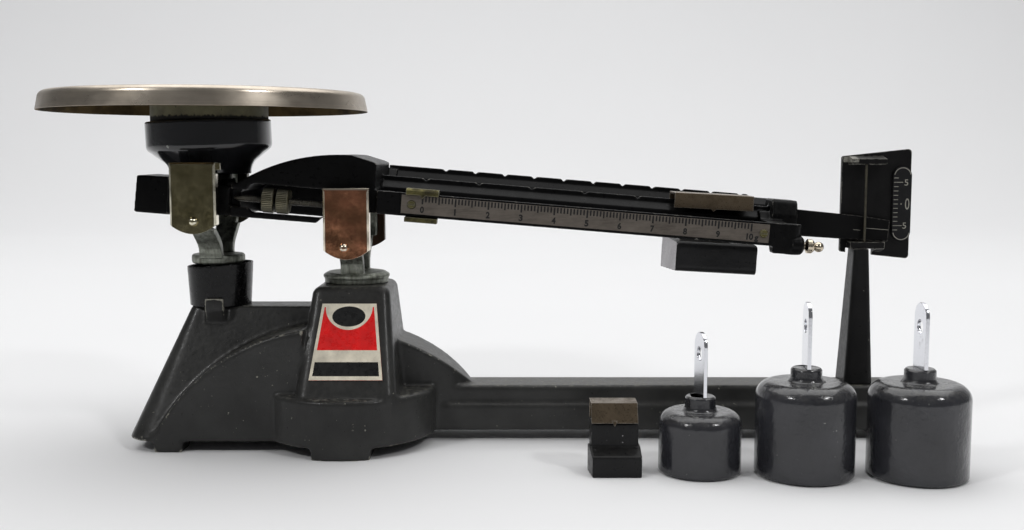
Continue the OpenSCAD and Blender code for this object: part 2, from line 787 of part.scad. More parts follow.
// Yoke that hangs on the pan knife: bridge, two legs, disc and forked stem
module carrier_yoke() {
    bridge_z = 119.4;
    color("#868b83") difference() {
        union() {
            both_sides() yoke_leg([-69.5, -59.4], [-73, -60.6], 97,
                leg_outline(84, 88, 103, 122, pan_arm_y[0], pan_arm_y[1]));
            translate([-73, -pan_arm_y[1] + 1, bridge_z])
                cube([12.4, 2 * pan_arm_y[1] - 2, 2.6]);
            translate([bowl_x, 0, bridge_z]) cylinder(r = 9.5, h = 2.6);
            translate([carrier_x + 0.3, 0, 81]) rotate_extrude()
                polygon([[0, 0], [11.4, 0], [12, 0.8], [12, 3.4], [11.4, 4.2], [0, 4.2]]);
            translate([carrier_x + 0.2, 0, stem_pivot_z - 5.5])
                cylinder(r = stem_r, h = 81.5 - stem_pivot_z + 5.5);
        }
        // Openings beside the agates
        both_sides() translate([pan_x - agate_w / 2 - gap, pan_arm_y[0] - 1, pan_z - 7])
            cube([agate_w + 2 * gap, 6, 11 + gap]);
        both_sides() pin_y_axis(-66, 102, 1.3, 20, 30);
        // Fork for the check link
        translate([stem_pivot_x - 8, -1.7, stem_pivot_z - 8]) cube([16, 3.4, 15]);
        pin_y_axis(stem_pivot_x, stem_pivot_z, 1.52, -6, 6);
        translate([bowl_x, 0, 110]) cylinder(r = 2.05, h = 20);
    }
}

module pan_agates() {
    color("#7d3b30") translate([pan_x, 0, pan_z]) both_sides() mirror([0, 0, 1])
        agate(pan_arm_y[0], pan_arm_y[1]);
}

module pan_covers() {
    color("#9a8a62") both_sides() {
        cover(-66.25, 96.4, -32.2, 0.25, 5.6);
        // Tab bent out at the top corner
        translate([-56.8, -30.2, 124.2]) cube([2.4, 1.2, 3]);
    }
}

module pan_cover_screws() {
    color("#8f8562") both_sides() cover_screw(-66, 102, -32.2, 8.4);
}

// Enamelled bowl that spreads from the neck to the plate seat
module plate_support() {
    r = bowl_d / 2;
    color("#2b2c30") translate([bowl_x, 0, 122 + gap]) difference() {
        rotate([0, bowl_lean, 0]) rotate_extrude($fn = 96) polygon(concat(
            [[2.1, -2], [18, -2]], arc([27.2, -0.5], 9.2, 180, 140, 6),
            arc([r - 3.1, 13], 3.1, -48, 0, 6),
            [[r, 23.6], [r - 0.5, bowl_rise], [r - 5, bowl_rise], [r - 5.4, 15], [12, 8],
             [12, 5], [2.1, 5]]));
        translate([-40, -40, -20]) cube([80, 80, 20]);
        cylinder(r = 2.1, h = 30, center = true);
    }
}

// Screw that holds the bowl on the bridge
module support_screw() {
    color("#77736a") translate([bowl_x, 0, 0]) difference() {
        union() {
            translate([0, 0, 119.4]) cylinder(r = 2, h = 8.2);
            translate([0, 0, 127.3]) cylinder(r = 3.9, h = 2.8);
        }
        translate([-5, -0.5, 129]) cube([10, 1, 3]);
    }
}

// Ring between the bowl and the plate, wedge-shaped because the bowl leans
module plate_seat() {
    color("#7c7458") difference() {
        translate([bowl_x, 0, 0]) rotate_extrude($fn = 96)
            polygon([[18, 140], [seat_r, 140], [seat_r, seat_top - 0.8],
                     [seat_r - 0.8, seat_top], [18, seat_top]]);
        translate([bowl_x, 0, 122 + 2 * gap]) rotate([0, bowl_lean, 0])
            translate([-40, -40, 0]) cube([80, 80, bowl_rise]);
    }
}

module stem_pin() {
    color("#a9a9a5") pin_y_axis(stem_pivot_x, stem_pivot_z, 1.5, -4.6, 4.6);
}

// ---- check link and plate ---------------------------------------------------------

// Flat link with an eye at each end
module check_link() {
    t = 1.5;
    color("#8f918e") difference() {
        union() {
            pin_y_axis(link_x, link_z, 5, -t, t);
            pin_y_axis(stem_pivot_x, stem_pivot_z, 4, -t, t);
            translate([link_x, 0, link_z]) rotate([0, beam_tilt, 0])
                translate([-pan_arm, -t, -2.8]) cube([pan_arm, 2 * t, 5.6]);
        }
        pin_y_axis(link_x, link_z, link_bore_r, -5, 5);
        pin_y_axis(stem_pivot_x, stem_pivot_z, 1.6, -5, 5);
    }
}

// Plate pressed from sheet, with its rim turned down
module weighing_plate() {
    r = plate_d / 2;
    shoulder = 3.2;
    flare = 1.1;
    top = plate_z[1];
    color("#b8b2a8") translate([plate_x, 0, 0]) rotate_extrude($fn = 160) polygon(concat(
        [[0, top - plate_t], [r - shoulder - flare, top - plate_t]],
        arc([r - shoulder - flare, top - shoulder], shoulder - plate_t, 90, 8, 8),
        [[r - plate_t, plate_z[0]], [r, plate_z[0]]],
        arc([r - shoulder - flare, top - shoulder], shoulder, 8, 90, 10),
        [[0, top]]));
}

// ---- poises -----------------------------------------------------------------------

// Puts a poise on its notch, a little more upright than the beam
module hung_poise() {
    on_beam() translate([poise_u, 0, middle_rib_w]) rotate([0, poise_hang, 0])
        translate([0, 0, -middle_rib_w]) children();
}

// Large poise of the middle rail: the block under the rails
module poise_500_block() {
    color("#1c1c1e") hung_poise() difference() {
        intersection() {
            rail(-18, 18) polygon(concat([[-22.6, -2], [22.6, -2]],
                arc([21.5, -4.5], 2.5, 60, 0, 4), arc([22.6, -16.6], 1.4, 0, -80, 4),
                arc([-21.4, -13], 2.5, -95, -180, 4), arc([-21.5, -4.5], 2.5, 180, 120, 4)));
            slab(-30, 30) translate([-18, -20]) offset(r = 1.6) translate([1.6, 1.6])
                square([32.8, 14.8]);
        }
        // Slot for the foot of the stirrup
        translate([-12.02, 7.98, -8]) cube([24.04, 1.04, 8]);
    }
}

module poise_500_stirrup() {
    color("#8a7455") hung_poise() {
        slab(-8.5, -7.5) polygon([[-18, 12], [-1.2, 12], [0, 10.9], [1.2, 12], [18, 12],
                                  [18, 18.9], [-18, 18.9]]);
        translate([-18, -8.5, 18]) cube([36, 17.5, 0.9]);
        translate([-18, 8, 4]) cube([36, 1, 14.9]);
        translate([-12, 8, -7]) cube([24, 1, 12]);
        // Ridge that sits in a notch of the rib
        slab(-7.6, 8.2) polygon([[-2.4, 18.1], [0, middle_rib_w + 0.1], [2.4, 18.1]]);
    }
}

// Brass rider that wraps the front rail and points at the scale
module rider() {
    u0 = 25.3;
    u1 = 39.6;
    color("#8b8152") on_beam() {
        rail(u0, u1) polygon([[-30.6, 8.3], [-30.6, 10.2], [-29.6, 11.2], [-24.4, 11.2],
            [-24.4, -3.5], [-30.2, -3.5], [-30.2, -1.35], [-25.4, -1.35], [-25.4, 9.2],
            [-29.2, 9.2], [-29.2, 8.3]]);
        slab(-30.6, -29.2) polygon([[scale_zero_u - 1.2, 8.4], [scale_zero_u, 6.9],
                                    [scale_zero_u + 1.2, 8.4]]);
    }
}

// Small poise of the rear rail, standing on the table
module poise_100_block() {
    color("#1f1f21") translate([poise_100_x, 0, 0]) difference() {
        union() {
            rail(0.4, 19.8) polygon([[-68, 0.6], [-68, 9], [-65.4, 9],
                [-65.4, 20.4], [-64.6, 21.2], [-54.6, 21.2], [-53.8, 20.4], [-53.8, 0.6],
                [-54.4, 0], [-69, 0]]);
            // Foot, wider than the upright, with a top that slopes to the front
            intersection() {
                rail(-2, 21) polygon([[-72.4, 0], [-72.4, 8], [-71.9, 8.7], [-65.4, 11.2],
                                      [-60, 11.2], [-60, 0]]);
                linear_extrude(30) polygon([[0.5, -72.4], [20.7, -72.4], [20.7, -60],
                                            [-0.8, -60]]);
            }
        }
        translate([2.98, -54.92, 6]) cube([13.84, 3, 20]);
    }
}

module poise_100_stirrup() {
    color("#8f8462") translate([poise_100_x, 0, 0]) {
        rail(0.3, 19.5) polygon([[-63, 28.1], [-53.8, 28.1], [-53.8, 29.1], [-63.6, 29.1],
            [-67.4, 21.4], [-66.5, 21.1]]);
        translate([0.3, -54.9, 21.3]) cube([19.2, 1, 7.8]);
        translate([3, -54.9, 7]) cube([13.8, 1, 15]);
        translate([9.9, -66.8, 21.9]) rotate([-26, 0, 0])
            slab(-0.5, 0.45) polygon([[-1.2, 0.3], [0, -2.2], [1.2, 0.3]]);
    }
}

// ---- hanging weights --------------------------------------------------------------

// Cast body with a large round on its top edge and a boss for the strap
module weight_body(r, h, boss_top, round_r) {
    rotate_extrude($fn = 96) polygon(concat(
        [[0, 0], [r - 1.2, 0], [r, 1.2]],
        arc([r - round_r, h - round_r], round_r, 0, 90, 10),
        [[7.6, h], [6.9, h + 0.6], [6.3, h + 1.8], [6.3, boss_top - 0.8],
         [5.5, boss_top], [0, boss_top]]));
}

// Slot in the boss, then the strap that stands in it
module strap_tang(grow, boss_top) {
    translate([-4.5 - grow, -0.8 - grow, boss_top - 9 - grow])
        cube([9 + 2 * grow, 1.6 + 2 * grow, 12]);
}

module strap(boss_top, top, hole_z) {
    half = 6;
    difference() {
        union() {
            slab(-0.8, 0.8) polygon(concat([[-half, boss_top + gap], [half, boss_top + gap]],
                                          arc([0, top - half], half, 0, 180, 16)));
            intersection() {
                strap_tang(0, boss_top);
                translate([-10, -10, 0]) cube([20, 20, boss_top + 0.2]);
            }
        }
        pin_y_axis(0, hole_z, strap_hole_r, -2, 2);
    }
}

module weight(r, h, boss_top, top, hole_z, round_r, turn, piece) {
    if (piece == "body") difference() {
        weight_body(r, h, boss_top, round_r);
        rotate([0, 0, turn]) strap_tang(gap, boss_top);
    }
    if (piece == "strap") rotate([0, 0, turn]) strap(boss_top, top, hole_z);
}

module small_weight(piece) {
    translate([149.8, -62, 0])
        weight(small_r, small_h, small_h + 6.2, small_h + 32.7, small_h + 23.6, 5.2,
               strap_turns[0], piece);
}

module large_weight(x, y, turn, piece) {
    translate([x, y, 0])
        weight(large_r, large_h, large_h + 5.7, large_h + 32.6, large_h + 22.7, 6.4, turn,
               piece);
}

module weight_500g_body() {
    color("#4b4e55") small_weight("body");
}

module weight_500g_strap() {
    color("#b9bcc0") small_weight("strap");
}

module weight_1kg_a_body() {
    color("#4b4e55") large_weight(192.2, -66, strap_turns[1], "body");
}

module weight_1kg_a_strap() {
    color("#b9bcc0") large_weight(192.2, -66, strap_turns[1], "strap");
}

module weight_1kg_b_body() {
    color("#4b4e55") large_weight(238, -68, strap_turns[2], "body");
}

module weight_1kg_b_strap() {
    color("#b9bcc0") large_weight(238, -68, strap_turns[2], "strap");
}

base_casting();
fulcrum_yoke();
yoke_screw();
fulcrum_agates();
fulcrum_covers();
fulcrum_cover_screws();
nameplate();
stem_cup();
link_pivot_pin();
indicator_post();
post_screw();
indicator_bracket();
bracket_screw();
indicator_dial();
guard_rod();
beam_casting();
fulcrum_knife();
pan_knife();
scale_plate();
scale_screws();
zero_screw();
load_pins();
pointer();
zero_nut();
lock_nut();
carrier_yoke();
pan_agates();
pan_covers();
pan_cover_screws();
plate_support();
support_screw();
plate_seat();
stem_pin();
check_link();
weighing_plate();
poise_500_block();
poise_500_stirrup();
rider();
poise_100_block();
poise_100_stirrup();
weight_500g_body();
weight_500g_strap();
weight_1kg_a_body();
weight_1kg_a_strap();
weight_1kg_b_body();
weight_1kg_b_strap();
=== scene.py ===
"""Looks of the triple beam balance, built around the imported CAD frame.

Every visible piece is a finished copy of its CAD node, or a mark or thread that sits on
one, and rides on that node's body. Blender's units are metres, in the CAD model's frame;
numbers named or described as millimetres are turned into metres with MM.
"""

import json
import math
import random

import bmesh
import bpy
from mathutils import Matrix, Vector


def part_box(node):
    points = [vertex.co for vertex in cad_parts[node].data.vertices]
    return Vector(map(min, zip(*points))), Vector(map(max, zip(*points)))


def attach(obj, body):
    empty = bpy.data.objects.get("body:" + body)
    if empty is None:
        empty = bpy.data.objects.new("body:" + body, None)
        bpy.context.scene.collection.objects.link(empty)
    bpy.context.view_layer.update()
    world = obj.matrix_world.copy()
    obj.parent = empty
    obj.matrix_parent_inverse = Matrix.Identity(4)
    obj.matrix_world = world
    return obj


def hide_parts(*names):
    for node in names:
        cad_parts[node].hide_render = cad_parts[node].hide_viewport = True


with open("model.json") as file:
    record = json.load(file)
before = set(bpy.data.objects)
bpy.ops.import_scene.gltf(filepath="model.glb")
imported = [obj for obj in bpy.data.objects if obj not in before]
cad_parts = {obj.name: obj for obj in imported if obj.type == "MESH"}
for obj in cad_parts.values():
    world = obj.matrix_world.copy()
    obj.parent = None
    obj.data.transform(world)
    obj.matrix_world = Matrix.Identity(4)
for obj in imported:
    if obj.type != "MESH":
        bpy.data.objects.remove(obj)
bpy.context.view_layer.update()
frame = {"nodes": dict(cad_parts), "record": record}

MM = 0.001

RECORD = frame["record"]
BODY_OF = {}
for body_name, body_nodes in RECORD["behaviour"]["bodies"].items():
    for node_name in body_nodes:
        BODY_OF[node_name] = body_name
SLOT_OF = {row["node"]: row["material_slot"] for row in RECORD["subparts"]}
JOINTS = {joint["name"]: joint for joint in RECORD["behaviour"]["joints"]}

# The beam's own frame: along the beam, across it, and above its knife line
KNIFE_LINE = Vector(JOINTS["beam_tilt"]["pos_m"])
ALONG = Vector(JOINTS["rider_slide"]["axis"]).normalized()
ACROSS = Vector((0, 1, 0))
ABOVE = ALONG.cross(ACROSS)


def on_beam(u, y, w):
    """Point of the beam's frame, given in millimetres."""
    return KNIFE_LINE + (ALONG * u + ACROSS * y + ABOVE * w) * MM


# ---- shader graphs ------------------------------------------------------------------

class Graph:
    """One procedural material, with short calls for the nodes it is made of."""

    def __init__(self, name):
        self.mat = bpy.data.materials.new(name)
        self.mat.use_nodes = True
        self.tree = self.mat.node_tree
        self.tree.nodes.clear()
        self.shifts = random.Random(name)
        out = self.add("ShaderNodeOutputMaterial")
        self.bsdf = self.add("ShaderNodeBsdfPrincipled")
        self.join(self.bsdf.outputs[0], out.inputs["Surface"])
        self.coord = self.add("ShaderNodeTexCoord")
        self.geometry = self.add("ShaderNodeNewGeometry")

    def add(self, kind, **settings):
        made = self.tree.nodes.new(kind)
        for key, value in settings.items():
            setattr(made, key, value)
        return made

    def join(self, value, socket):
        if isinstance(value, bpy.types.NodeSocket):
            self.tree.links.new(value, socket)
        elif isinstance(value, (tuple, list)) and len(value) == 3 and socket.type == "RGBA":
            socket.default_value = (*value, 1)
        else:
            socket.default_value = value

    def set(self, **values):
        """Inputs of the surface shader, with underscores for spaces."""
        for key, value in values.items():
            self.join(value, self.bsdf.inputs[key.replace("_", " ")])

    def math(self, operation, a, b=0.5):
        made = self.add("ShaderNodeMath", operation=operation)
        self.join(a, made.inputs[0])
        self.join(b, made.inputs[1])
        return made.outputs[0]

    def noise(self, grain, detail=3.0, rough=0.55, stretch=(1, 1, 1), turn=(0, 0, 0)):
        """Noise between 0 and 1 whose features are about grain metres wide."""
        place = self.add("ShaderNodeMapping")
        self.join(self.coord.outputs["Object"], place.inputs["Vector"])
        place.inputs["Location"].default_value = [self.shifts.uniform(-9, 9) for _ in range(3)]
        place.inputs["Rotation"].default_value = turn
        place.inputs["Scale"].default_value = [1 / grain / s for s in stretch]
        made = self.add("ShaderNodeTexNoise")
        self.join(place.outputs[0], made.inputs["Vector"])
        made.inputs["Scale"].default_value = 1.0
        made.inputs["Detail"].default_value = detail
        made.inputs["Roughness"].default_value = rough
        return made.outputs[0]

    def band(self, value, low, high, to_low=0.0, to_high=1.0):
        """Value stretched from low..high to to_low..to_high, clamped."""
        made = self.add("ShaderNodeMapRange", clamp=True)
        self.join(value, made.inputs["Value"])
        made.inputs["From Min"].default_value = low
        made.inputs["From Max"].default_value = high
        made.inputs["To Min"].default_value = to_low
        made.inputs["To Max"].default_value = to_high
        return made.outputs[0]

    def mix(self, share, a, b):
        made = self.add("ShaderNodeMix", data_type="RGBA")
        self.join(share, made.inputs[0])
        self.join(a, made.inputs[6])
        self.join(b, made.inputs[7])
        return made.outputs[2]

    def blend(self, share, a, b):
        """Single value that goes from a to b with share."""
        made = self.add("ShaderNodeMix", data_type="FLOAT")
        self.join(share, made.inputs[0])
        self.join(a, made.inputs[2])
        self.join(b, made.inputs[3])
        return made.outputs[0]

    def scaled(self, colour, share):
        """A colour made lighter or darker by a share."""
        made = self.add("ShaderNodeVectorMath", operation="SCALE")
        self.join(colour, made.inputs[0])
        self.join(share, made.inputs["Scale"])
        return made.outputs[0]

    def part_of(self, vector, index):
        """One component of a vector."""
        parts = self.add("ShaderNodeSeparateXYZ")
        self.join(vector, parts.inputs[0])
        return parts.outputs[index]

    def normal_axis(self, index):
        """One component of the surface normal in the piece's own frame."""
        return self.part_of(self.coord.outputs["Normal"], index)

    def place_axis(self, index):
        """One coordinate of the place on the piece, in its own frame."""
        return self.part_of(self.coord.outputs["Object"], index)

    def convex(self):
        """Edges of a densely meshed piece that stand out."""
        return self.band(self.geometry.outputs["Pointiness"], 0.515, 0.58)

    def edge(self, radius):
        """Edges of a coarsely meshed piece, from how far a rounded normal leans."""
        soft = self.add("ShaderNodeBevel", samples=4)
        soft.inputs["Radius"].default_value = radius
        lean = self.add("ShaderNodeVectorMath", operation="DOT_PRODUCT")
        self.join(soft.outputs[0], lean.inputs[0])
        self.join(self.geometry.outputs["Normal"], lean.inputs[1])
        return self.band(self.math("SUBTRACT", 1.0, lean.outputs["Value"]), 0.004, 0.08)

    def crevice(self, reach):
        """1 in the open, darker in corners and under ledges."""
        made = self.add("ShaderNodeAmbientOcclusion", samples=4)
        made.inputs["Distance"].default_value = reach
        return made.outputs["AO"]

    def bump(self, *layers):
        """Layers of (height, depth in metres), the first one deepest."""
        normal = None
        for height, depth in layers:
            made = self.add("ShaderNodeBump")
            made.inputs["Strength"].default_value = 1.0
            made.inputs["Distance"].default_value = depth
            self.join(height, made.inputs["Height"])
            if normal is not None:
                self.join(normal, made.inputs["Normal"])
            normal = made.outputs[0]
        self.join(normal, self.bsdf.inputs["Normal"])


def enamel(name, colour, bare, rough, chips, wear, dense=True, peel=0.00004, coat=0.0,
           top_wear=0.0, dusty=0.05, sheen=0.4, extra=None):
    """Enamel on a casting: orange peel, dust, scuffs, and chips where edges stand out.

    colour is the paint, bare the metal under it. chips is how readily the flat areas
    chip, wear how readily the edges do, top_wear how far upward faces are rubbed and
    dusty how much dust they hold. peel is the depth of the orange peel in metres, and
    extra(g, fine) gives a further share of bare metal.
    """
    g = Graph(name)
    broad = g.noise(24 * MM, 4)
    fine = g.noise(2.2 * MM, 5, 0.65)
    grit = g.noise(0.5 * MM, 2)
    shade = g.band(broad, 0.3, 0.7, 0.72, 1.3)
    paint = g.scaled(colour, shade)
    edges = g.convex() if dense else g.edge(0.7 * MM)
    ragged = g.math("ADD", g.math("MULTIPLY", edges, 0.5), g.math("MULTIPLY", fine, 0.62))
    bare_edge = g.band(ragged, 0.80 - 0.28 * wear, 0.86 - 0.28 * wear)
    spots = g.band(g.noise(1.7 * MM, 2, 0.5), 0.80 - 0.12 * chips, 0.83 - 0.12 * chips)
    scattered = g.math("MULTIPLY", spots, g.band(g.noise(16 * MM, 2), 0.45, 0.6))
    worn = g.math("MAXIMUM", bare_edge, scattered)
    if top_wear:
        upward = g.band(g.normal_axis(2), 0.8, 0.97)
        rubbed = g.math("MULTIPLY", upward, g.band(fine, 0.62 - 0.2 * top_wear, 0.75))
        worn = g.math("MAXIMUM", worn, g.math("MULTIPLY", rubbed, 0.75))
    if extra:
        worn = g.math("MAXIMUM", worn, extra(g, fine))
    dust = g.math("MULTIPLY", g.band(g.normal_axis(2), 0.1, 0.9), g.band(fine, 0.35, 0.7))
    film = g.mix(g.math("MULTIPLY", dust, dusty), paint, (0.20, 0.19, 0.165))
    metal = g.mix(g.band(grit, 0.3, 0.7), bare, [0.55 * c for c in bare])
    g.set(Base_Color=g.mix(worn, film, metal),
          Metallic=g.blend(worn, 0.0, 0.35),
          Roughness=g.blend(worn, g.band(fine, 0.3, 0.7, rough * 0.8, rough * 1.35), 0.55),
          Specular_IOR_Level=sheen, Coat_Weight=coat, Coat_Roughness=0.08)
    g.bump((g.noise(9 * MM, 2), 4 * peel), (g.noise(1.3 * MM, 2), peel),
           (g.math("SUBTRACT", 1.0, worn), 0.00006))
    return g.mat


def plated(name, colour, dark, rough, tarnish, scratches=0.5, edge_light=0.5):
    """Bare or plated metal: tarnish in patches, fine scratches, rubbed edges, and painted shade
    in its corners.

    dark is the tarnish, and tarnish is how much of the piece it covers.
    """
    g = Graph(name)
    patches = g.noise(7 * MM, 5, 0.62)
    specks = g.noise(0.7 * MM, 4, 0.7)
    lines = g.noise(0.22 * MM, 2, 0.5)
    stain = g.band(g.math("ADD", g.math("MULTIPLY", patches, 0.75),
                          g.math("MULTIPLY", specks, 0.25)),
                   0.62 - 0.25 * tarnish, 0.78 - 0.2 * tarnish)
    rubbed = g.math("MULTIPLY", g.edge(0.5 * MM), g.band(specks, 0.3, 0.55, 0.2, edge_light))
    tone = g.mix(stain, colour, dark)
    pale = [min(1.0, 0.35 + 0.9 * c) for c in colour]
    tone = g.mix(rubbed, tone, pale)
    tone = g.mix(g.math("MULTIPLY", g.band(lines, 0.35, 0.65), 0.22 * scratches), tone, dark)
    # Painted shade: the colour is darkened in corners and under ledges, from ambient occlusion
    corner_shade = g.band(g.crevice(1.5 * MM), 0.35, 0.9, 0.45, 1.0)
    g.set(Base_Color=g.scaled(tone, corner_shade), Metallic=g.blend(stain, 1.0, 0.75),
          Roughness=g.blend(stain, g.band(specks, 0.3, 0.7, rough * 0.8, rough * 1.3),
                            min(0.85, rough + 0.22)))
    g.bump((patches, 0.00003), (lines, 0.000006 * (0.5 + scratches)), (specks, 0.000008))
    return g.mat


def polished(name, colour, dark, rim):
    """Polished sheet metal: mirror-like face in cloudy tints, with a painted highlight in a
    paler tint at its bent edges.

    The cover behind the beam is dull, and painted shade makes it almost black.
    """
    g = Graph(name)
    cloud = g.noise(8 * MM, 3, 0.5)
    finger = g.noise(2.5 * MM, 4, 0.6)
    specks = g.noise(0.5 * MM, 3, 0.6)
    tone = g.mix(g.band(cloud, 0.36, 0.62), colour, dark)
    # Painted highlight: faces that turn away from the front, the bent edges, take the pale tint
    edge_highlight = g.band(g.normal_axis(1), -0.985, -0.93)
    tone = g.mix(edge_highlight, tone, rim)
    # Painted shade: the part behind the beam, above y = 0, is darkened almost to black
    behind_beam_shade = g.band(g.place_axis(1), 0.0, 2 * MM)
    tone = g.mix(g.math("MULTIPLY", behind_beam_shade, 0.9), tone, (0.02, 0.02, 0.018))
    shine = g.band(finger, 0.35, 0.7, 0.10, 0.24)
    g.set(Base_Color=tone, Metallic=1.0, Roughness=g.blend(behind_beam_shade, shine, 0.5))
    g.bump((g.noise(14 * MM, 1), 0.0006), (finger, 0.000006), (specks, 0.000003))
    return g.mat


def bare_zinc(name):
    """Unpainted die casting, grey with a green cast and streaks that run down it, with painted
    shade in its corners.
    """
    g = Graph(name)
    streaks = g.noise(2.2 * MM, 4, 0.6, (1, 1, 7))
    blotches = g.noise(6 * MM, 5, 0.6)
    grit = g.noise(0.35 * MM, 3, 0.6)
    tone = g.mix(g.band(streaks, 0.32, 0.68), (0.36, 0.38, 0.33), (0.12, 0.125, 0.10))
    tone = g.mix(g.band(blotches, 0.5, 0.72), tone, (0.05, 0.05, 0.042))
    tone = g.mix(g.math("MULTIPLY", g.edge(0.6 * MM), 0.55), tone, (0.55, 0.56, 0.52))
    # Painted shade: the colour is darkened in corners and recesses, from ambient occlusion
    corner_shade = g.band(g.crevice(3 * MM), 0.3, 0.95, 0.4, 1.0)
    g.set(Base_Color=g.scaled(tone, corner_shade), Metallic=0.75,
          Roughness=g.band(grit, 0.3, 0.7, 0.34, 0.58))
    g.bump((blotches, 0.00012), (streaks, 0.00004), (grit, 0.000025))
    return g.mat


def seat_patina(name):
    """Olive ring with black grime that creeps up from its lower edge."""
    g = Graph(name)
    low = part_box("plate_seat")[0][2]
    blotch = g.noise(1.6 * MM, 4, 0.65)
    broad = g.noise(6 * MM, 3)
    drips = g.noise(0.9 * MM, 2, 0.5, (1, 1, 2.5))
    tone = g.mix(g.band(broad, 0.35, 0.65), (0.125, 0.115, 0.062), (0.080, 0.074, 0.040))
    climb = g.math("ADD", g.band(g.place_axis(2), low + 0.6 * MM, low + 5 * MM, 0.75, 0.0),
                   g.math("MULTIPLY", drips, 0.45))
    grime_and_shade = g.math("MAXIMUM", g.band(climb, 0.62, 0.70), g.band(blotch, 0.68, 0.72))
    g.set(Base_Color=g.mix(grime_and_shade, tone, (0.006, 0.005, 0.004)), Metallic=0.15,
          Roughness=g.blend(grime_and_shade, 0.45, 0.8))
    g.bump((blotch, 0.00006), (grime_and_shade, 0.00012))
    return g.mat


def turned_steel(name, centre):
    """Sheet steel with fine rings about its middle, cloudy from handling.

    Its underside and the inside of its rim carry painted shade in dark brown.
    """
    g = Graph(name)
    place = g.add("ShaderNodeVectorMath", operation="SUBTRACT")
    g.join(g.coord.outputs["Object"], place.inputs[0])
    place.inputs[1].default_value = (*centre, 0)
    parts = g.add("ShaderNodeSeparateXYZ")
    g.join(place.outputs[0], parts.inputs[0])
    from_x, from_y, height = parts.outputs
    squares = [g.math("MULTIPLY", part, part) for part in (from_x, from_y)]
    reach = g.math("SQRT", g.math("ADD", *squares))
    ring = g.add("ShaderNodeCombineXYZ")
    g.join(g.math("MULTIPLY", reach, 1 / (0.25 * MM)), ring.inputs[0])
    g.join(g.math("MULTIPLY", height, 1 / (0.5 * MM)), ring.inputs[1])
    rings = g.add("ShaderNodeTexNoise")
    rings.inputs["Scale"].default_value = 1.0
    rings.inputs["Detail"].default_value = 3.0
    g.join(ring.outputs[0], rings.inputs["Vector"])
    cloud = g.noise(22 * MM, 4, 0.6)
    smear = g.noise(5 * MM, 4, 0.6, (3, 3, 1))
    tone = g.mix(g.band(cloud, 0.35, 0.7), (0.60, 0.53, 0.44), (0.40, 0.345, 0.275))
    tone = g.mix(g.math("MULTIPLY", g.band(rings.outputs[0], 0.35, 0.65), 0.25), tone,
                 (0.30, 0.28, 0.26))
    tone = g.mix(g.math("MULTIPLY", g.band(smear, 0.6, 0.75), 0.4), tone, (0.25, 0.21, 0.17))
    # Painted shade: downward faces and the inner face of the rim are darkened to dark brown
    below = g.band(g.normal_axis(2), -0.35, -0.75)
    outward = g.math("ADD", g.math("MULTIPLY", from_x, g.normal_axis(0)),
                     g.math("MULTIPLY", from_y, g.normal_axis(1)))
    inward = g.band(g.math("DIVIDE", outward, reach), -0.3, -0.6)
    steep = g.band(g.normal_axis(2), 0.3, 0.1)
    underside_shade = g.math("MAXIMUM", below, g.math("MULTIPLY", inward, steep))
    grime_and_shade = g.mix(g.band(cloud, 0.4, 0.6), (0.030, 0.022, 0.012), (0.12, 0.085, 0.04))
    g.set(Base_Color=g.mix(underside_shade, tone, grime_and_shade), Metallic=1.0,
          Roughness=g.blend(underside_shade, g.band(smear, 0.3, 0.7, 0.26, 0.38), 0.75))
    g.bump((cloud, 0.00002), (rings.outputs[0], 0.000012))
    return g.mat


def brushed_strip(name):
    """Aged aluminium strip, brushed along the beam and browned by handling."""
    g = Graph(name)
    slope = math.atan2(-ALONG.z, ALONG.x)
    lines = g.noise(0.16 * MM, 3, 0.6, (60, 1, 1), (0, -slope, 0))
    stain = g.noise(5 * MM, 5, 0.65, (2.2, 1, 1))
    specks = g.noise(0.6 * MM, 3, 0.6)
    tone = g.mix(g.band(stain, 0.35, 0.7), (0.165, 0.142, 0.120), (0.085, 0.072, 0.060))
    tone = g.mix(g.math("MULTIPLY", g.band(lines, 0.4, 0.62), 0.35), tone, (0.22, 0.195, 0.17))
    tone = g.mix(g.band(specks, 0.66, 0.74), tone, (0.06, 0.05, 0.045))
    g.set(Base_Color=tone, Metallic=0.6, Roughness=g.band(stain, 0.3, 0.7, 0.42, 0.60))
    g.bump((stain, 0.00002), (lines, 0.000008))
    return g.mat


def gloss_plastic(name, colour, rough=0.16):
    """Moulded plastic with dull scuffs, fine scratches and dust in the corners."""
    g = Graph(name)
    scuff = g.noise(3 * MM, 5, 0.6)
    hair = g.noise(0.2 * MM, 2, 0.5, (1, 1, 25), (0.5, 0.3, 0))
    dust = g.band(g.crevice(2 * MM), 0.2, 0.75, 0.5, 0.0)
    tone = g.mix(g.math("MULTIPLY", g.band(scuff, 0.55, 0.75), 0.06), colour, (0.16, 0.15, 0.14))
    tone = g.mix(g.math("MULTIPLY", dust, 0.2), tone, (0.14, 0.13, 0.12))
    g.set(Base_Color=tone, Roughness=g.band(scuff, 0.35, 0.7, rough, rough * 2.2),
          Specular_IOR_Level=0.2, Coat_Weight=0.08, Coat_Roughness=0.05)
    g.bump((g.noise(6 * MM, 2), 0.00004), (hair, 0.000004))
    return g.mat


def stone(name, colour, vein):
    """Polished agate with wavy bands."""
    g = Graph(name)
    waves = g.add("ShaderNodeTexWave", wave_type="BANDS")
    g.join(g.coord.outputs["Object"], waves.inputs["Vector"])
    waves.inputs["Scale"].default_value = 220
    waves.inputs["Distortion"].default_value = 6
    g.set(Base_Color=g.mix(g.band(waves.outputs[1], 0.3, 0.8), colour, vein), Roughness=0.12)
    g.bump((g.noise(1 * MM, 2), 0.00001))
    return g.mat


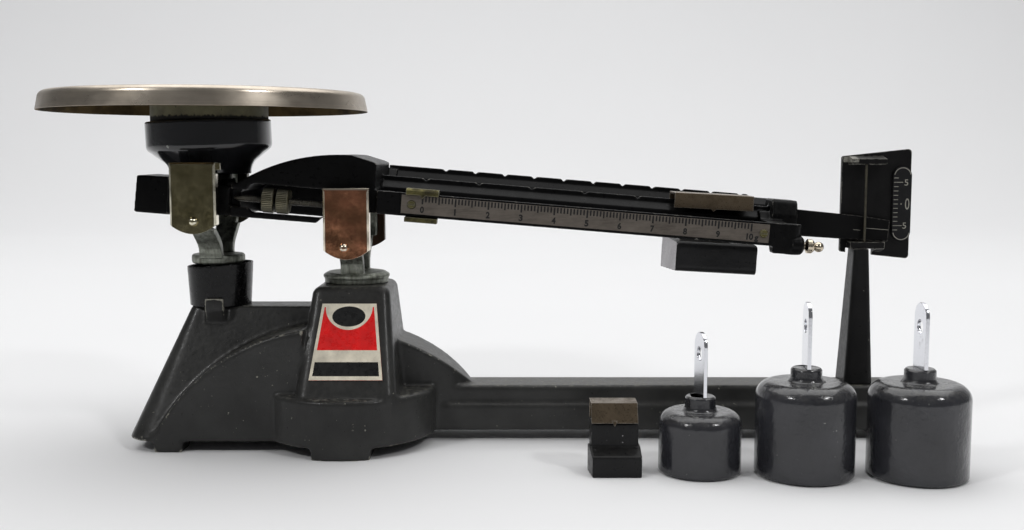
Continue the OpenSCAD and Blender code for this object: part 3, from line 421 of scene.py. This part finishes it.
def printed(name, colour, rough, worn, loss):
    """Ink or lacquer of a mark, patchy in the worn colour where it has rubbed off."""
    g = Graph(name)
    rub = g.band(g.noise(0.5 * MM, 4, 0.6), 0.72 - 0.2 * loss, 0.8 - 0.2 * loss)
    cloud = g.band(g.noise(6 * MM, 3), 0.3, 0.7, 0.8, 1.15)
    g.set(Base_Color=g.mix(g.math("MULTIPLY", rub, 0.7), g.scaled(colour, cloud), worn),
          Roughness=g.band(g.noise(2 * MM, 3), 0.3, 0.7, rough * 0.8, rough * 1.3))
    g.bump((g.noise(1.2 * MM, 3), 0.00001))
    return g.mat


# ---- finishes -------------------------------------------------------------------------

def bracket_corner(g, fine):
    """Rubbed patch at the upper left corner of the indicator bracket."""
    low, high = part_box("indicator_bracket")
    left, right = low[0] + 0.4 * MM, low[0] + 5.4 * MM
    top = high[2] - 3.6 * MM
    foot = top - 2.6 * MM
    over = g.math("MULTIPLY", g.band(g.place_axis(0), left, left + 0.4 * MM),
                  g.band(g.place_axis(0), right, right + 0.8 * MM, 1, 0))
    tall = g.math("MULTIPLY", g.band(g.place_axis(2), foot, foot + 0.4 * MM),
                  g.band(g.place_axis(2), top, top + 0.5 * MM, 1, 0))
    return g.math("MULTIPLY", g.math("MULTIPLY", over, tall), g.band(fine, 0.36, 0.46))


def weight_top(g, fine):
    """Speckled wear in the rough ring round a weight's boss."""
    upward = g.band(g.normal_axis(2), 0.97, 0.995)
    return g.math("MULTIPLY", upward, g.band(fine, 0.56, 0.64, 0, 0.55))


def block_end(g, fine):
    """Left end of the large poise block, bare zinc with streaks.

    The small block has the same enamel but stands far lower, and keeps its paint there.
    """
    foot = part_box("poise_500_block")[0][2]
    raised = g.band(g.place_axis(2), foot - 20 * MM, foot - 10 * MM)
    streaks = g.noise(1.5 * MM, 3, 0.6, (1, 1, 5))
    ragged = g.math("ADD", g.normal_axis(0), g.math("MULTIPLY", streaks, 0.3))
    return g.math("MULTIPLY", raised, g.band(ragged, -0.62, -0.72, 0, 1))


plate_low, plate_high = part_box("weighing_plate")
PLATE_CENTRE = [(plate_low[i] + plate_high[i]) / 2 for i in (0, 1)]
ZINC = (0.42, 0.43, 0.40)
FINISH = {
    "base_enamel": enamel("base_enamel", (0.030, 0.030, 0.029), (0.34, 0.33, 0.28), 0.33,
                          0.75, 0.95, peel=0.00006, coat=0.04, top_wear=0.75, dusty=0.10,
                          sheen=0.25),
    "beam_enamel": enamel("beam_enamel", (0.0042, 0.0042, 0.0044), (0.20, 0.19, 0.17), 0.30,
                          0.4, 0.8, peel=0.00005, top_wear=0.2, dusty=0.015, sheen=0.1),
    "bowl_enamel": enamel("bowl_enamel", (0.0125, 0.013, 0.0145), ZINC, 0.15,
                          0.2, 0.25, peel=0.00003, coat=0.5, dusty=0.02),
    "weight_enamel": enamel("weight_enamel", (0.026, 0.0265, 0.031), ZINC, 0.17,
                            0.55, 0.3, dense=False, peel=0.00016, coat=0.4, dusty=0.25,
                            extra=weight_top),
    "poise_enamel": enamel("poise_enamel", (0.011, 0.011, 0.0115), (0.62, 0.60, 0.62), 0.30,
                           0.5, 0.7, peel=0.00006, sheen=0.2, extra=block_end),
    "bare_zinc": bare_zinc("bare_zinc"),
    "plate_steel": turned_steel("plate_steel", PLATE_CENTRE),
    "pan_cover_brass": polished("pan_cover_brass", (0.34, 0.30, 0.17), (0.20, 0.175, 0.09),
                                (0.78, 0.74, 0.60)),
    "fulcrum_cover_copper": polished("fulcrum_cover_copper", (0.62, 0.27, 0.15),
                                     (0.36, 0.17, 0.09), (0.85, 0.76, 0.62)),
    "stirrup_brass": plated("stirrup_brass", (0.20, 0.155, 0.105), (0.075, 0.055, 0.035),
                            0.30, 0.6, scratches=0.5, edge_light=0.8),
    "rider_brass": plated("rider_brass", (0.15, 0.135, 0.055), (0.035, 0.03, 0.014), 0.46, 0.9),
    "nut_brass": plated("nut_brass", (0.19, 0.175, 0.105), (0.045, 0.04, 0.022), 0.34, 0.6),
    "pin_metal": plated("pin_metal", (0.62, 0.54, 0.42), (0.22, 0.16, 0.10), 0.18, 0.35),
    "strap_chrome": plated("strap_chrome", (0.78, 0.79, 0.83), (0.40, 0.39, 0.40), 0.16,
                           0.12, scratches=0.35),
    "scale_aluminium": brushed_strip("scale_aluminium"),
    "screw_steel": plated("screw_steel", (0.10, 0.092, 0.065), (0.035, 0.03, 0.022), 0.40, 0.6),
    "knife_steel": plated("knife_steel", (0.50, 0.51, 0.52), (0.20, 0.19, 0.18), 0.22, 0.3),
    "agate": stone("agate", (0.30, 0.08, 0.05), (0.55, 0.30, 0.20)),
    "cup_plastic": gloss_plastic("cup_plastic", (0.003, 0.003, 0.0033)),
    "seat_patina": seat_patina("seat_patina"),
    "label_face": printed("label_face", (0.80, 0.010, 0.010), 0.28, (0.35, 0.04, 0.035), 0.1),
    "dial_black": gloss_plastic("dial_black", (0.010, 0.010, 0.011), 0.3),
}
BRACKET_ENAMEL = enamel("bracket_enamel", (0.0075, 0.0073, 0.0075), (0.35, 0.34, 0.30), 0.36,
                        0.3, 0.15, dense=False, dusty=0.25, sheen=0.15, extra=bracket_corner)
POINTER_ENAMEL = enamel("pointer_enamel", (0.0045, 0.0045, 0.0047), (0.22, 0.21, 0.19), 0.36,
                        0.3, 0.1, dense=False, dusty=0.015, sheen=0.1)
POST_ENAMEL = enamel("post_enamel", (0.009, 0.009, 0.0092), (0.30, 0.29, 0.24), 0.33,
                     0.4, 0.6, sheen=0.2, dusty=0.04)
INK = printed("scale_ink", (0.003, 0.0026, 0.0026), 0.6, (0.03, 0.027, 0.024), 0.1)
DIAL_WHITE = printed("dial_white", (0.30, 0.29, 0.25), 0.5, (0.06, 0.058, 0.05), 0.6)
LABEL_CREAM = printed("label_cream", (0.80, 0.74, 0.60), 0.3, (0.45, 0.34, 0.22), 0.25)
LABEL_BLACK = printed("label_black", (0.006, 0.006, 0.006), 0.3, (0.05, 0.04, 0.035), 0.15)


# ---- meshes ---------------------------------------------------------------------------

# Millimetres that printed marks stand out, and that they are sunk into the surface
MARK_HEIGHT = 0.05
MARK_ROOT = -0.01


def baked(obj):
    """Applies an object's modifiers and returns it."""
    graph = bpy.context.evaluated_depsgraph_get()
    mesh = bpy.data.meshes.new_from_object(obj.evaluated_get(graph))
    obj.modifiers.clear()
    obj.data = mesh
    return obj


def shade(obj, angle):
    """Smooth shading, sharp where faces meet at more than an angle in degrees."""
    obj.data.shade_smooth()
    obj.data.set_sharp_from_angle(angle=math.radians(angle))
    return obj


def new_piece(name, mesh, material, body):
    """Object that shows a mesh in one material and rides on a body."""
    obj = bpy.data.objects.new(name, mesh)
    bpy.context.scene.collection.objects.link(obj)
    mesh.materials.clear()
    mesh.materials.append(material)
    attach(obj, body)
    return obj


def work_on(node):
    """Object with a copy of a node's mesh, to put modifiers on."""
    obj = bpy.data.objects.new("work", copy_of(node))
    bpy.context.scene.collection.objects.link(obj)
    return obj


def copy_of(node):
    """Welded copy of a CAD node's mesh, with flat areas merged into single faces."""
    bm = bmesh.new()
    bm.from_mesh(frame["nodes"][node].data)
    bmesh.ops.remove_doubles(bm, verts=bm.verts, dist=0.002 * MM)
    bmesh.ops.dissolve_limit(bm, angle_limit=math.radians(0.4), verts=bm.verts,
                             edges=bm.edges)
    mesh = bpy.data.meshes.new(node + "_skin")
    bm.to_mesh(mesh)
    bm.free()
    return mesh


def stand_in(node, mesh, material):
    """Shows a finished mesh in place of a CAD node, on the same body."""
    slot = SLOT_OF[node]
    piece = new_piece(node + "_skin", mesh, material or FINISH[slot], BODY_OF[node])
    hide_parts(node)
    return piece


def machined(node, break_edge=0.15, material=None, segments=2):
    """Copy of a node with its sharp edges broken by a small round, in mm."""
    obj = work_on(node)
    edge = obj.modifiers.new("edge", "BEVEL")
    edge.width = break_edge * MM
    edge.segments = segments
    edge.limit_method = "ANGLE"
    edge.angle_limit = math.radians(35)
    edge.use_clamp_overlap = True
    baked(obj)
    shade(obj, 40)
    even = obj.modifiers.new("even", "WEIGHTED_NORMAL")
    even.keep_sharp = True
    baked(obj)
    mesh = obj.data
    bpy.data.objects.remove(obj)
    return stand_in(node, mesh, material)


def cast(node, grain, softness, keep, material=None):
    """Copy of a node with the soft edges and fillets of a casting.

    grain is the size of its cells in mm, softness the rounds of smoothing, keep the
    share of faces that stay.
    """
    obj = work_on(node)
    cells = obj.modifiers.new("cells", "REMESH")
    cells.mode = "VOXEL"
    cells.voxel_size = grain * MM
    soft = obj.modifiers.new("soft", "SMOOTH")
    soft.factor = 0.5
    soft.iterations = softness
    thin = obj.modifiers.new("thin", "DECIMATE")
    thin.ratio = keep
    baked(obj)
    mesh = obj.data
    bpy.data.objects.remove(obj)
    return shade(stand_in(node, mesh, material), 60)


def prisms(name, outlines, to_space, depth, material, body):
    """Thin raised shapes, each a closed outline of (a, b) points in millimetres.

    to_space(a, b, lift) gives the point in space, lift millimetres above the surface.
    """
    bm = bmesh.new()
    for outline in outlines:
        front = [bm.verts.new(to_space(a, b, depth)) for a, b in outline]
        back = [bm.verts.new(to_space(a, b, MARK_ROOT)) for a, b in outline]
        bm.faces.new(front)
        bm.faces.new(list(reversed(back)))
        for i in range(len(front)):
            j = (i + 1) % len(front)
            bm.faces.new((front[j], front[i], back[i], back[j]))
    bmesh.ops.recalc_face_normals(bm, faces=bm.faces)
    mesh = bpy.data.meshes.new(name)
    bm.to_mesh(mesh)
    bm.free()
    return new_piece(name, mesh, material, body)


def bar(a0, b0, a1, b1):
    """Outline of an upright rectangle."""
    return [(a0, b0), (a1, b0), (a1, b1), (a0, b1)]


def oval(a, b, half_a, half_b, count=40):
    """Outline of an oval about a point."""
    turns = [2 * math.pi * i / count for i in range(count)]
    return [(a + half_a * math.cos(t), b + half_b * math.sin(t)) for t in turns]


def numerals(name, rows, to_space, material, body, bold=0.0):
    """Raised numbers. Each row is (text, middle a, low b, width, height) in millimetres.

    bold thickens the strokes, in the font's own units.
    """
    bm = bmesh.new()
    for text, a_mid, b_low, width, height in rows:
        curve = bpy.data.curves.new("text", "FONT")
        curve.body = text
        curve.extrude = 0.02
        curve.offset = bold
        curve.resolution_u = 4
        obj = bpy.data.objects.new("text", curve)
        bpy.context.scene.collection.objects.link(obj)
        graph = bpy.context.evaluated_depsgraph_get()
        mesh = bpy.data.meshes.new_from_object(obj.evaluated_get(graph))
        bpy.data.objects.remove(obj)
        xs = [v.co.x for v in mesh.vertices]
        ys = [v.co.y for v in mesh.vertices]
        for v in mesh.vertices:
            a = a_mid + ((v.co.x - min(xs)) / (max(xs) - min(xs)) - 0.5) * width
            b = b_low + (v.co.y - min(ys)) / (max(ys) - min(ys)) * height
            v.co = to_space(a, b, MARK_HEIGHT if v.co.z > 0 else MARK_ROOT)
        bm.from_mesh(mesh)
        bpy.data.meshes.remove(mesh)
    bmesh.ops.remove_doubles(bm, verts=bm.verts, dist=0.001 * MM)
    bmesh.ops.recalc_face_normals(bm, faces=bm.faces)
    made = bpy.data.meshes.new(name)
    bm.to_mesh(made)
    bm.free()
    return new_piece(name, made, material, body)


def threaded_rod(name, start, end, radius, depth, pitch, material, body):
    """Rod with a real thread between two points, pointed at its start."""
    axis = end - start
    length = axis.length
    axis.normalize()
    side = axis.orthogonal().normalized()
    other = axis.cross(side)
    rings = int(length / pitch * 8)
    around = 24
    taper = 3 * MM
    bm = bmesh.new()
    grid = []
    for i in range(rings + 1):
        along = length * i / rings
        tip = min(1.0, 0.35 + along / taper)
        row = []
        for j in range(around):
            turn = 2 * math.pi * j / around
            wave = 0.5 + 0.5 * math.cos(2 * math.pi * along / pitch - turn)
            r = (radius - depth * wave) * tip
            point = start + axis * along + (side * math.cos(turn) + other * math.sin(turn)) * r
            row.append(bm.verts.new(point))
        grid.append(row)
    for i in range(rings):
        for j in range(around):
            k = (j + 1) % around
            bm.faces.new((grid[i][j], grid[i][k], grid[i + 1][k], grid[i + 1][j]))
    bm.faces.new(grid[0])
    bm.faces.new(list(reversed(grid[-1])))
    bmesh.ops.recalc_face_normals(bm, faces=bm.faces)
    mesh = bpy.data.meshes.new(name)
    bm.to_mesh(mesh)
    bm.free()
    return new_piece(name, mesh, material, body)


# ---- castings and turned parts --------------------------------------------------------

cast("base_casting", 0.9, 3, 0.45)
cast("indicator_post", 0.5, 2, 0.4, POST_ENAMEL)
cast("beam_casting", 0.45, 2, 0.35)
cast("plate_support", 0.5, 2, 0.4)
cast("poise_500_block", 0.5, 3, 0.3)
cast("poise_100_block", 0.4, 2, 0.3)
cast("fulcrum_yoke", 0.35, 2, 0.4)
cast("carrier_yoke", 0.35, 2, 0.4)

for node in ("fulcrum_covers", "pan_covers", "poise_500_stirrup", "poise_100_stirrup",
             "rider", "weight_500g_strap", "weight_1kg_a_strap", "weight_1kg_b_strap"):
    machined(node, 0.25)
for node in ("yoke_screw", "fulcrum_agates", "fulcrum_cover_screws", "nameplate",
             "link_pivot_pin", "post_screw", "bracket_screw", "guard_rod", "fulcrum_knife",
             "pan_knife", "scale_plate", "scale_screws", "load_pins", "zero_nut", "lock_nut",
             "pan_agates", "pan_cover_screws", "support_screw", "stem_pin"):
    machined(node, 0.08)
for node in ("stem_cup", "plate_seat", "check_link", "weighing_plate", "indicator_dial"):
    machined(node, 0.3, segments=3)
for weight in ("weight_500g_body", "weight_1kg_a_body", "weight_1kg_b_body"):
    machined(weight, 0.35, segments=3)
machined("indicator_bracket", 0.25, BRACKET_ENAMEL)
machined("pointer", 0.2, POINTER_ENAMEL)


# ---- zero screw -----------------------------------------------------------------------

zero_low, zero_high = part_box("zero_screw")
ZERO_Y = (zero_low[1] + zero_high[1]) / 2 / MM
ZERO_W = 0.4
ZERO_TIP, ZERO_ROOT = -51.5, -8.5
THREAD_RADIUS, THREAD_DEPTH, THREAD_PITCH = 1.5 * MM, 0.28 * MM, 0.8 * MM
zero_rod = threaded_rod("zero_screw_thread", on_beam(ZERO_TIP, ZERO_Y, ZERO_W),
                        on_beam(ZERO_ROOT, ZERO_Y, ZERO_W), THREAD_RADIUS, THREAD_DEPTH,
                        THREAD_PITCH, FINISH["screw_steel"], "beam")
shade(zero_rod, 70)
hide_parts("zero_screw")


# ---- scale: marks and numbers ----------------------------------------------------------

SCALE_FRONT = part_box("scale_plate")[0][1] / MM
SCALE_ZERO = 32.7
GRAM = 14.39
SCALE_TOP = 8.0
# Half width and length of the marks at whole grams, half grams and tenths
GRAM_MARK = (0.38, 3.4)
HALF_MARK = (0.35, 3.0)
TENTH_MARK = (0.35, 2.4)
NUMBER_FOOT, NUMBER_HEIGHT = 0.8, 2.9
NUMBER_WIDTH = {1: 0.75, 10: 3.0}
PLAIN_WIDTH = 1.75


def on_scale(u, w, lift):
    """Point of the scale plate's front, lift millimetres before it."""
    return on_beam(u, SCALE_FRONT - lift, w)


ticks = []
for tenth in range(101):
    u = SCALE_ZERO + tenth * GRAM / 10
    half, reach = GRAM_MARK if tenth % 10 == 0 else HALF_MARK if tenth % 5 == 0 else TENTH_MARK
    ticks.append(bar(u - half, SCALE_TOP - reach, u + half, SCALE_TOP))
prisms("scale_ticks", ticks, on_scale, MARK_HEIGHT, INK, "beam")
gram_rows = []
for n in range(11):
    middle = SCALE_ZERO + n * GRAM - (0.4 if n == 10 else 0.0)
    gram_rows.append((str(n), middle, NUMBER_FOOT, NUMBER_WIDTH.get(n, PLAIN_WIDTH),
                      NUMBER_HEIGHT))
gram_rows.append(("g", SCALE_ZERO + 10 * GRAM + 2.5, 0.1, 1.8, 2.6))
numerals("scale_numbers", gram_rows, on_scale, INK, "beam", 0.045)


# ---- dial and pointer marks --------------------------------------------------------------

dial_low, dial_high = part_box("indicator_dial")
DIAL_FRONT = dial_low[1] / MM
DIAL_LEFT = dial_low[0] / MM
DIAL_MID = (dial_low[0] + dial_high[0]) / 2 / MM
DIAL_CENTRE = (dial_low[2] + dial_high[2]) / 2 / MM
DIAL_END_RADIUS = 4.3
# The marks' own middle and pitch, and the length and half width of a mark
DIAL_ZERO = 108.0
DIAL_STEP = 2.0
LONG_REACH, SHORT_REACH = 4.2, 2.1
DIAL_MARK_HALF = 0.14


def on_dial(x, z, lift):
    """Point of the dial's face, lift millimetres before it."""
    return Vector((x, DIAL_FRONT - lift, z)) * MM


def dial_arc(mid_z, direction):
    """Band that follows the round end of the dial, just inside its edge."""
    outer, inner = 3.95, 3.6
    turns = [math.radians(10 + 160 * i / 20) for i in range(21)]
    ring = [(DIAL_MID + outer * math.cos(t), mid_z + direction * outer * math.sin(t))
            for t in turns]
    ring += [(DIAL_MID + inner * math.cos(t), mid_z + direction * inner * math.sin(t))
             for t in reversed(turns)]
    return ring


dial_marks = []
for step in range(-6, 7):
    z = DIAL_ZERO + step * DIAL_STEP
    reach = LONG_REACH if abs(step) == 5 else SHORT_REACH
    left = DIAL_LEFT + 0.3
    dial_marks.append(bar(left, z - DIAL_MARK_HALF, left + reach, z + DIAL_MARK_HALF))
dial_marks.append(oval(DIAL_LEFT + 3.9, DIAL_ZERO, 0.3, 0.3, 12))
to_round_end = (dial_high[2] - dial_low[2]) / 2 / MM - DIAL_END_RADIUS
for direction in (1, -1):
    dial_marks.append(dial_arc(DIAL_CENTRE + direction * to_round_end, direction))
prisms("dial_marks", dial_marks, on_dial, MARK_HEIGHT, DIAL_WHITE, "base")
numerals("dial_numbers", [("5", DIAL_MID + 1.7, DIAL_ZERO + 8.5, 1.7, 2.8),
                          ("5", DIAL_MID + 1.4, DIAL_ZERO - 11.4, 1.7, 2.8),
                          ("0", DIAL_MID + 2.4, DIAL_ZERO - 2.6, 2.0, 5.2)],
         on_dial, DIAL_WHITE, "base")

POINTER_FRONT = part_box("pointer")[0][1] / MM


def on_pointer(u, w, lift):
    """Point of the pointer arm's front, lift millimetres before it."""
    return on_beam(u, POINTER_FRONT - lift, w)


INDEX_LINE = bar(234.5, 8.85, 245.8, 9.08)
# Painted highlight: a short pale strip below and left of the index line, for light on the edge
# of a step in the arm
POINTER_EDGE_HIGHLIGHT = bar(229.6, 7.7, 232.9, 7.86)
prisms("pointer_line_and_highlight", [INDEX_LINE, POINTER_EDGE_HIGHLIGHT], on_pointer, MARK_HEIGHT, DIAL_WHITE,
       "beam")


# ---- label: fields of colour, no lettering ------------------------------------------------

# The label's own plane, from the front faces of its plate
label_mesh = frame["nodes"]["nameplate"].data
label_faces = [face for face in label_mesh.polygons if face.normal.y < -0.7]
label_corners = [label_mesh.vertices[i].co for face in label_faces for i in face.vertices]
LABEL_OUT = sum((face.normal * face.area for face in label_faces), Vector()).normalized()
LABEL_UP = LABEL_OUT.cross(Vector((1, 0, 0)))
LABEL_FOOT = min(label_corners, key=lambda corner: corner.z).copy()
LABEL_HEIGHT = (max(label_corners, key=lambda c: c.z) - LABEL_FOOT).dot(LABEL_UP) / MM
label_head = (LABEL_HEIGHT - 0.5) * MM
label_foot_x = [c.x for c in label_corners if c.z < LABEL_FOOT.z + 0.5 * MM]
label_head_x = [c.x for c in label_corners if (c - LABEL_FOOT).dot(LABEL_UP) > label_head]
LABEL_FOOT.x = (min(label_foot_x) + max(label_foot_x)) / 2
FOOT_HALF = (max(label_foot_x) - min(label_foot_x)) / 2 / MM
HEAD_HALF = (max(label_head_x) - min(label_head_x)) / 2 / MM
CREAM_EDGE = 1.3
BAND = (1.8, 8.1)
RED_FOOT, RED_HEAD, RED_DIP = 13.5, LABEL_HEIGHT - 1.6, 10.6


def on_label(x, s, lift):
    """Point of the label, s millimetres up its slope and lift before it."""
    return LABEL_FOOT + (Vector((1, 0, 0)) * x + LABEL_UP * s + LABEL_OUT * lift) * MM


def half_width(s, margin):
    """Half of the label's width at a height, less a margin."""
    return FOOT_HALF + (HEAD_HALF - FOOT_HALF) * s / LABEL_HEIGHT - margin


def field(s0, s1, margin):
    """Band of the label between two heights."""
    return [(-half_width(s0, margin), s0), (half_width(s0, margin), s0),
            (half_width(s1, margin), s1), (-half_width(s1, margin), s1)]


def red_field(s0, s1, dip, margin):
    """Red part of the label, whose top follows an arc that dips round the oval."""
    wide = half_width(s1, margin)
    sweep = [math.radians(180 * i / 24) for i in range(25)]
    arc = [((wide - 0.5) * math.cos(t), s1 - dip * math.sin(t)) for t in sweep]
    foot = half_width(s0, margin)
    return [(-foot, s0), (foot, s0), (wide, s1)] + arc + [(-wide, s1)]


for name, outline, height, colour in (
        ("label_border", field(0.02, LABEL_HEIGHT - 0.02, 0.02), 0.03, LABEL_CREAM),
        ("label_field", red_field(RED_FOOT, RED_HEAD, RED_DIP, CREAM_EDGE), 0.06,
         FINISH["label_face"]),
        ("label_band", field(*BAND, CREAM_EDGE), 0.06, LABEL_BLACK),
        ("label_oval", oval(0, 29.0, 7.3, 4.7), 0.08, LABEL_BLACK)):
    prisms(name, [outline], on_label, height, colour, "base")


# ---- stage ----------------------------------------------------------------------------

def stage_material():
    """Matt, nearly white paper."""
    g = Graph("stage_paper")
    cloud = g.band(g.noise(0.4, 2), 0.3, 0.7, 0.985, 1.0)
    g.set(Base_Color=g.scaled((0.84, 0.84, 0.845), cloud), Roughness=0.9,
          Specular_IOR_Level=0.2)
    return g.mat


def sweep_floor():
    """Floor that curves up into a backdrop.

    It ends just before the camera, so that upright faces mirror the dark room.
    """
    front, back, bend, top, half_wide, steps = -0.62, 1.2, 0.6, 3.0, 4.0, 16
    profile = [(front, 0.0), (back, 0.0)]
    for i in range(1, steps + 1):
        turn = math.radians(90 * i / steps)
        profile.append((back + bend * math.sin(turn), bend - bend * math.cos(turn)))
    profile.append((back + bend, top))
    bm = bmesh.new()
    rows = [[bm.verts.new((x, y, z)) for y, z in profile] for x in (-half_wide, half_wide)]
    for i in range(len(profile) - 1):
        bm.faces.new((rows[0][i], rows[1][i], rows[1][i + 1], rows[0][i + 1]))
    mesh = bpy.data.meshes.new("stage_floor")
    bm.to_mesh(mesh)
    bm.free()
    mesh.materials.append(stage_material())
    floor = bpy.data.objects.new("stage_floor", mesh)
    bpy.context.scene.collection.objects.link(floor)
    mesh.shade_smooth()


def soft_light(name, place, aim, size, power):
    """Softbox of a size in metres and a power in watts, aimed at a point."""
    data = bpy.data.lights.new(name, "AREA")
    data.shape = "RECTANGLE"
    data.size, data.size_y = size
    data.energy = power
    light = bpy.data.objects.new(name, data)
    light.location = place
    light.rotation_euler = (Vector(aim) - Vector(place)).to_track_quat("-Z", "Y").to_euler()
    bpy.context.scene.collection.objects.link(light)


sweep_floor()
MIDDLE = (0.07, 0.0, 0.08)
SMALL_BOX = (0.16, 0.16)
soft_light("light_top", (0.1, 0.6, 1.9), (0.1, 0.45, 0), (3.4, 2.2), 46)
soft_light("light_left", (-0.75, -0.75, 0.95), MIDDLE, SMALL_BOX, 3.6)
soft_light("light_right", (0.85, -0.7, 0.95), MIDDLE, SMALL_BOX, 3.2)
world = bpy.data.worlds.new("studio")
world.use_nodes = True
sky = world.node_tree.nodes["Background"]
sky.inputs["Color"].default_value = (0.97, 0.98, 1.0, 1)
sky.inputs["Strength"].default_value = 0.14
bpy.context.scene.world = world
bpy.context.scene.view_settings.view_transform = "Standard"

LOOK_DOWN = 5.77
camera = bpy.data.cameras.new("camera")
camera.lens = 39.4
camera.sensor_width = 36
camera.clip_start = 0.01
viewer = bpy.data.objects.new("camera", camera)
viewer.location = (0.072, -0.517, 0.132)
viewer.rotation_euler = (math.radians(90 - LOOK_DOWN), 0, 0)
bpy.context.scene.collection.objects.link(viewer)
bpy.context.scene.camera = viewer
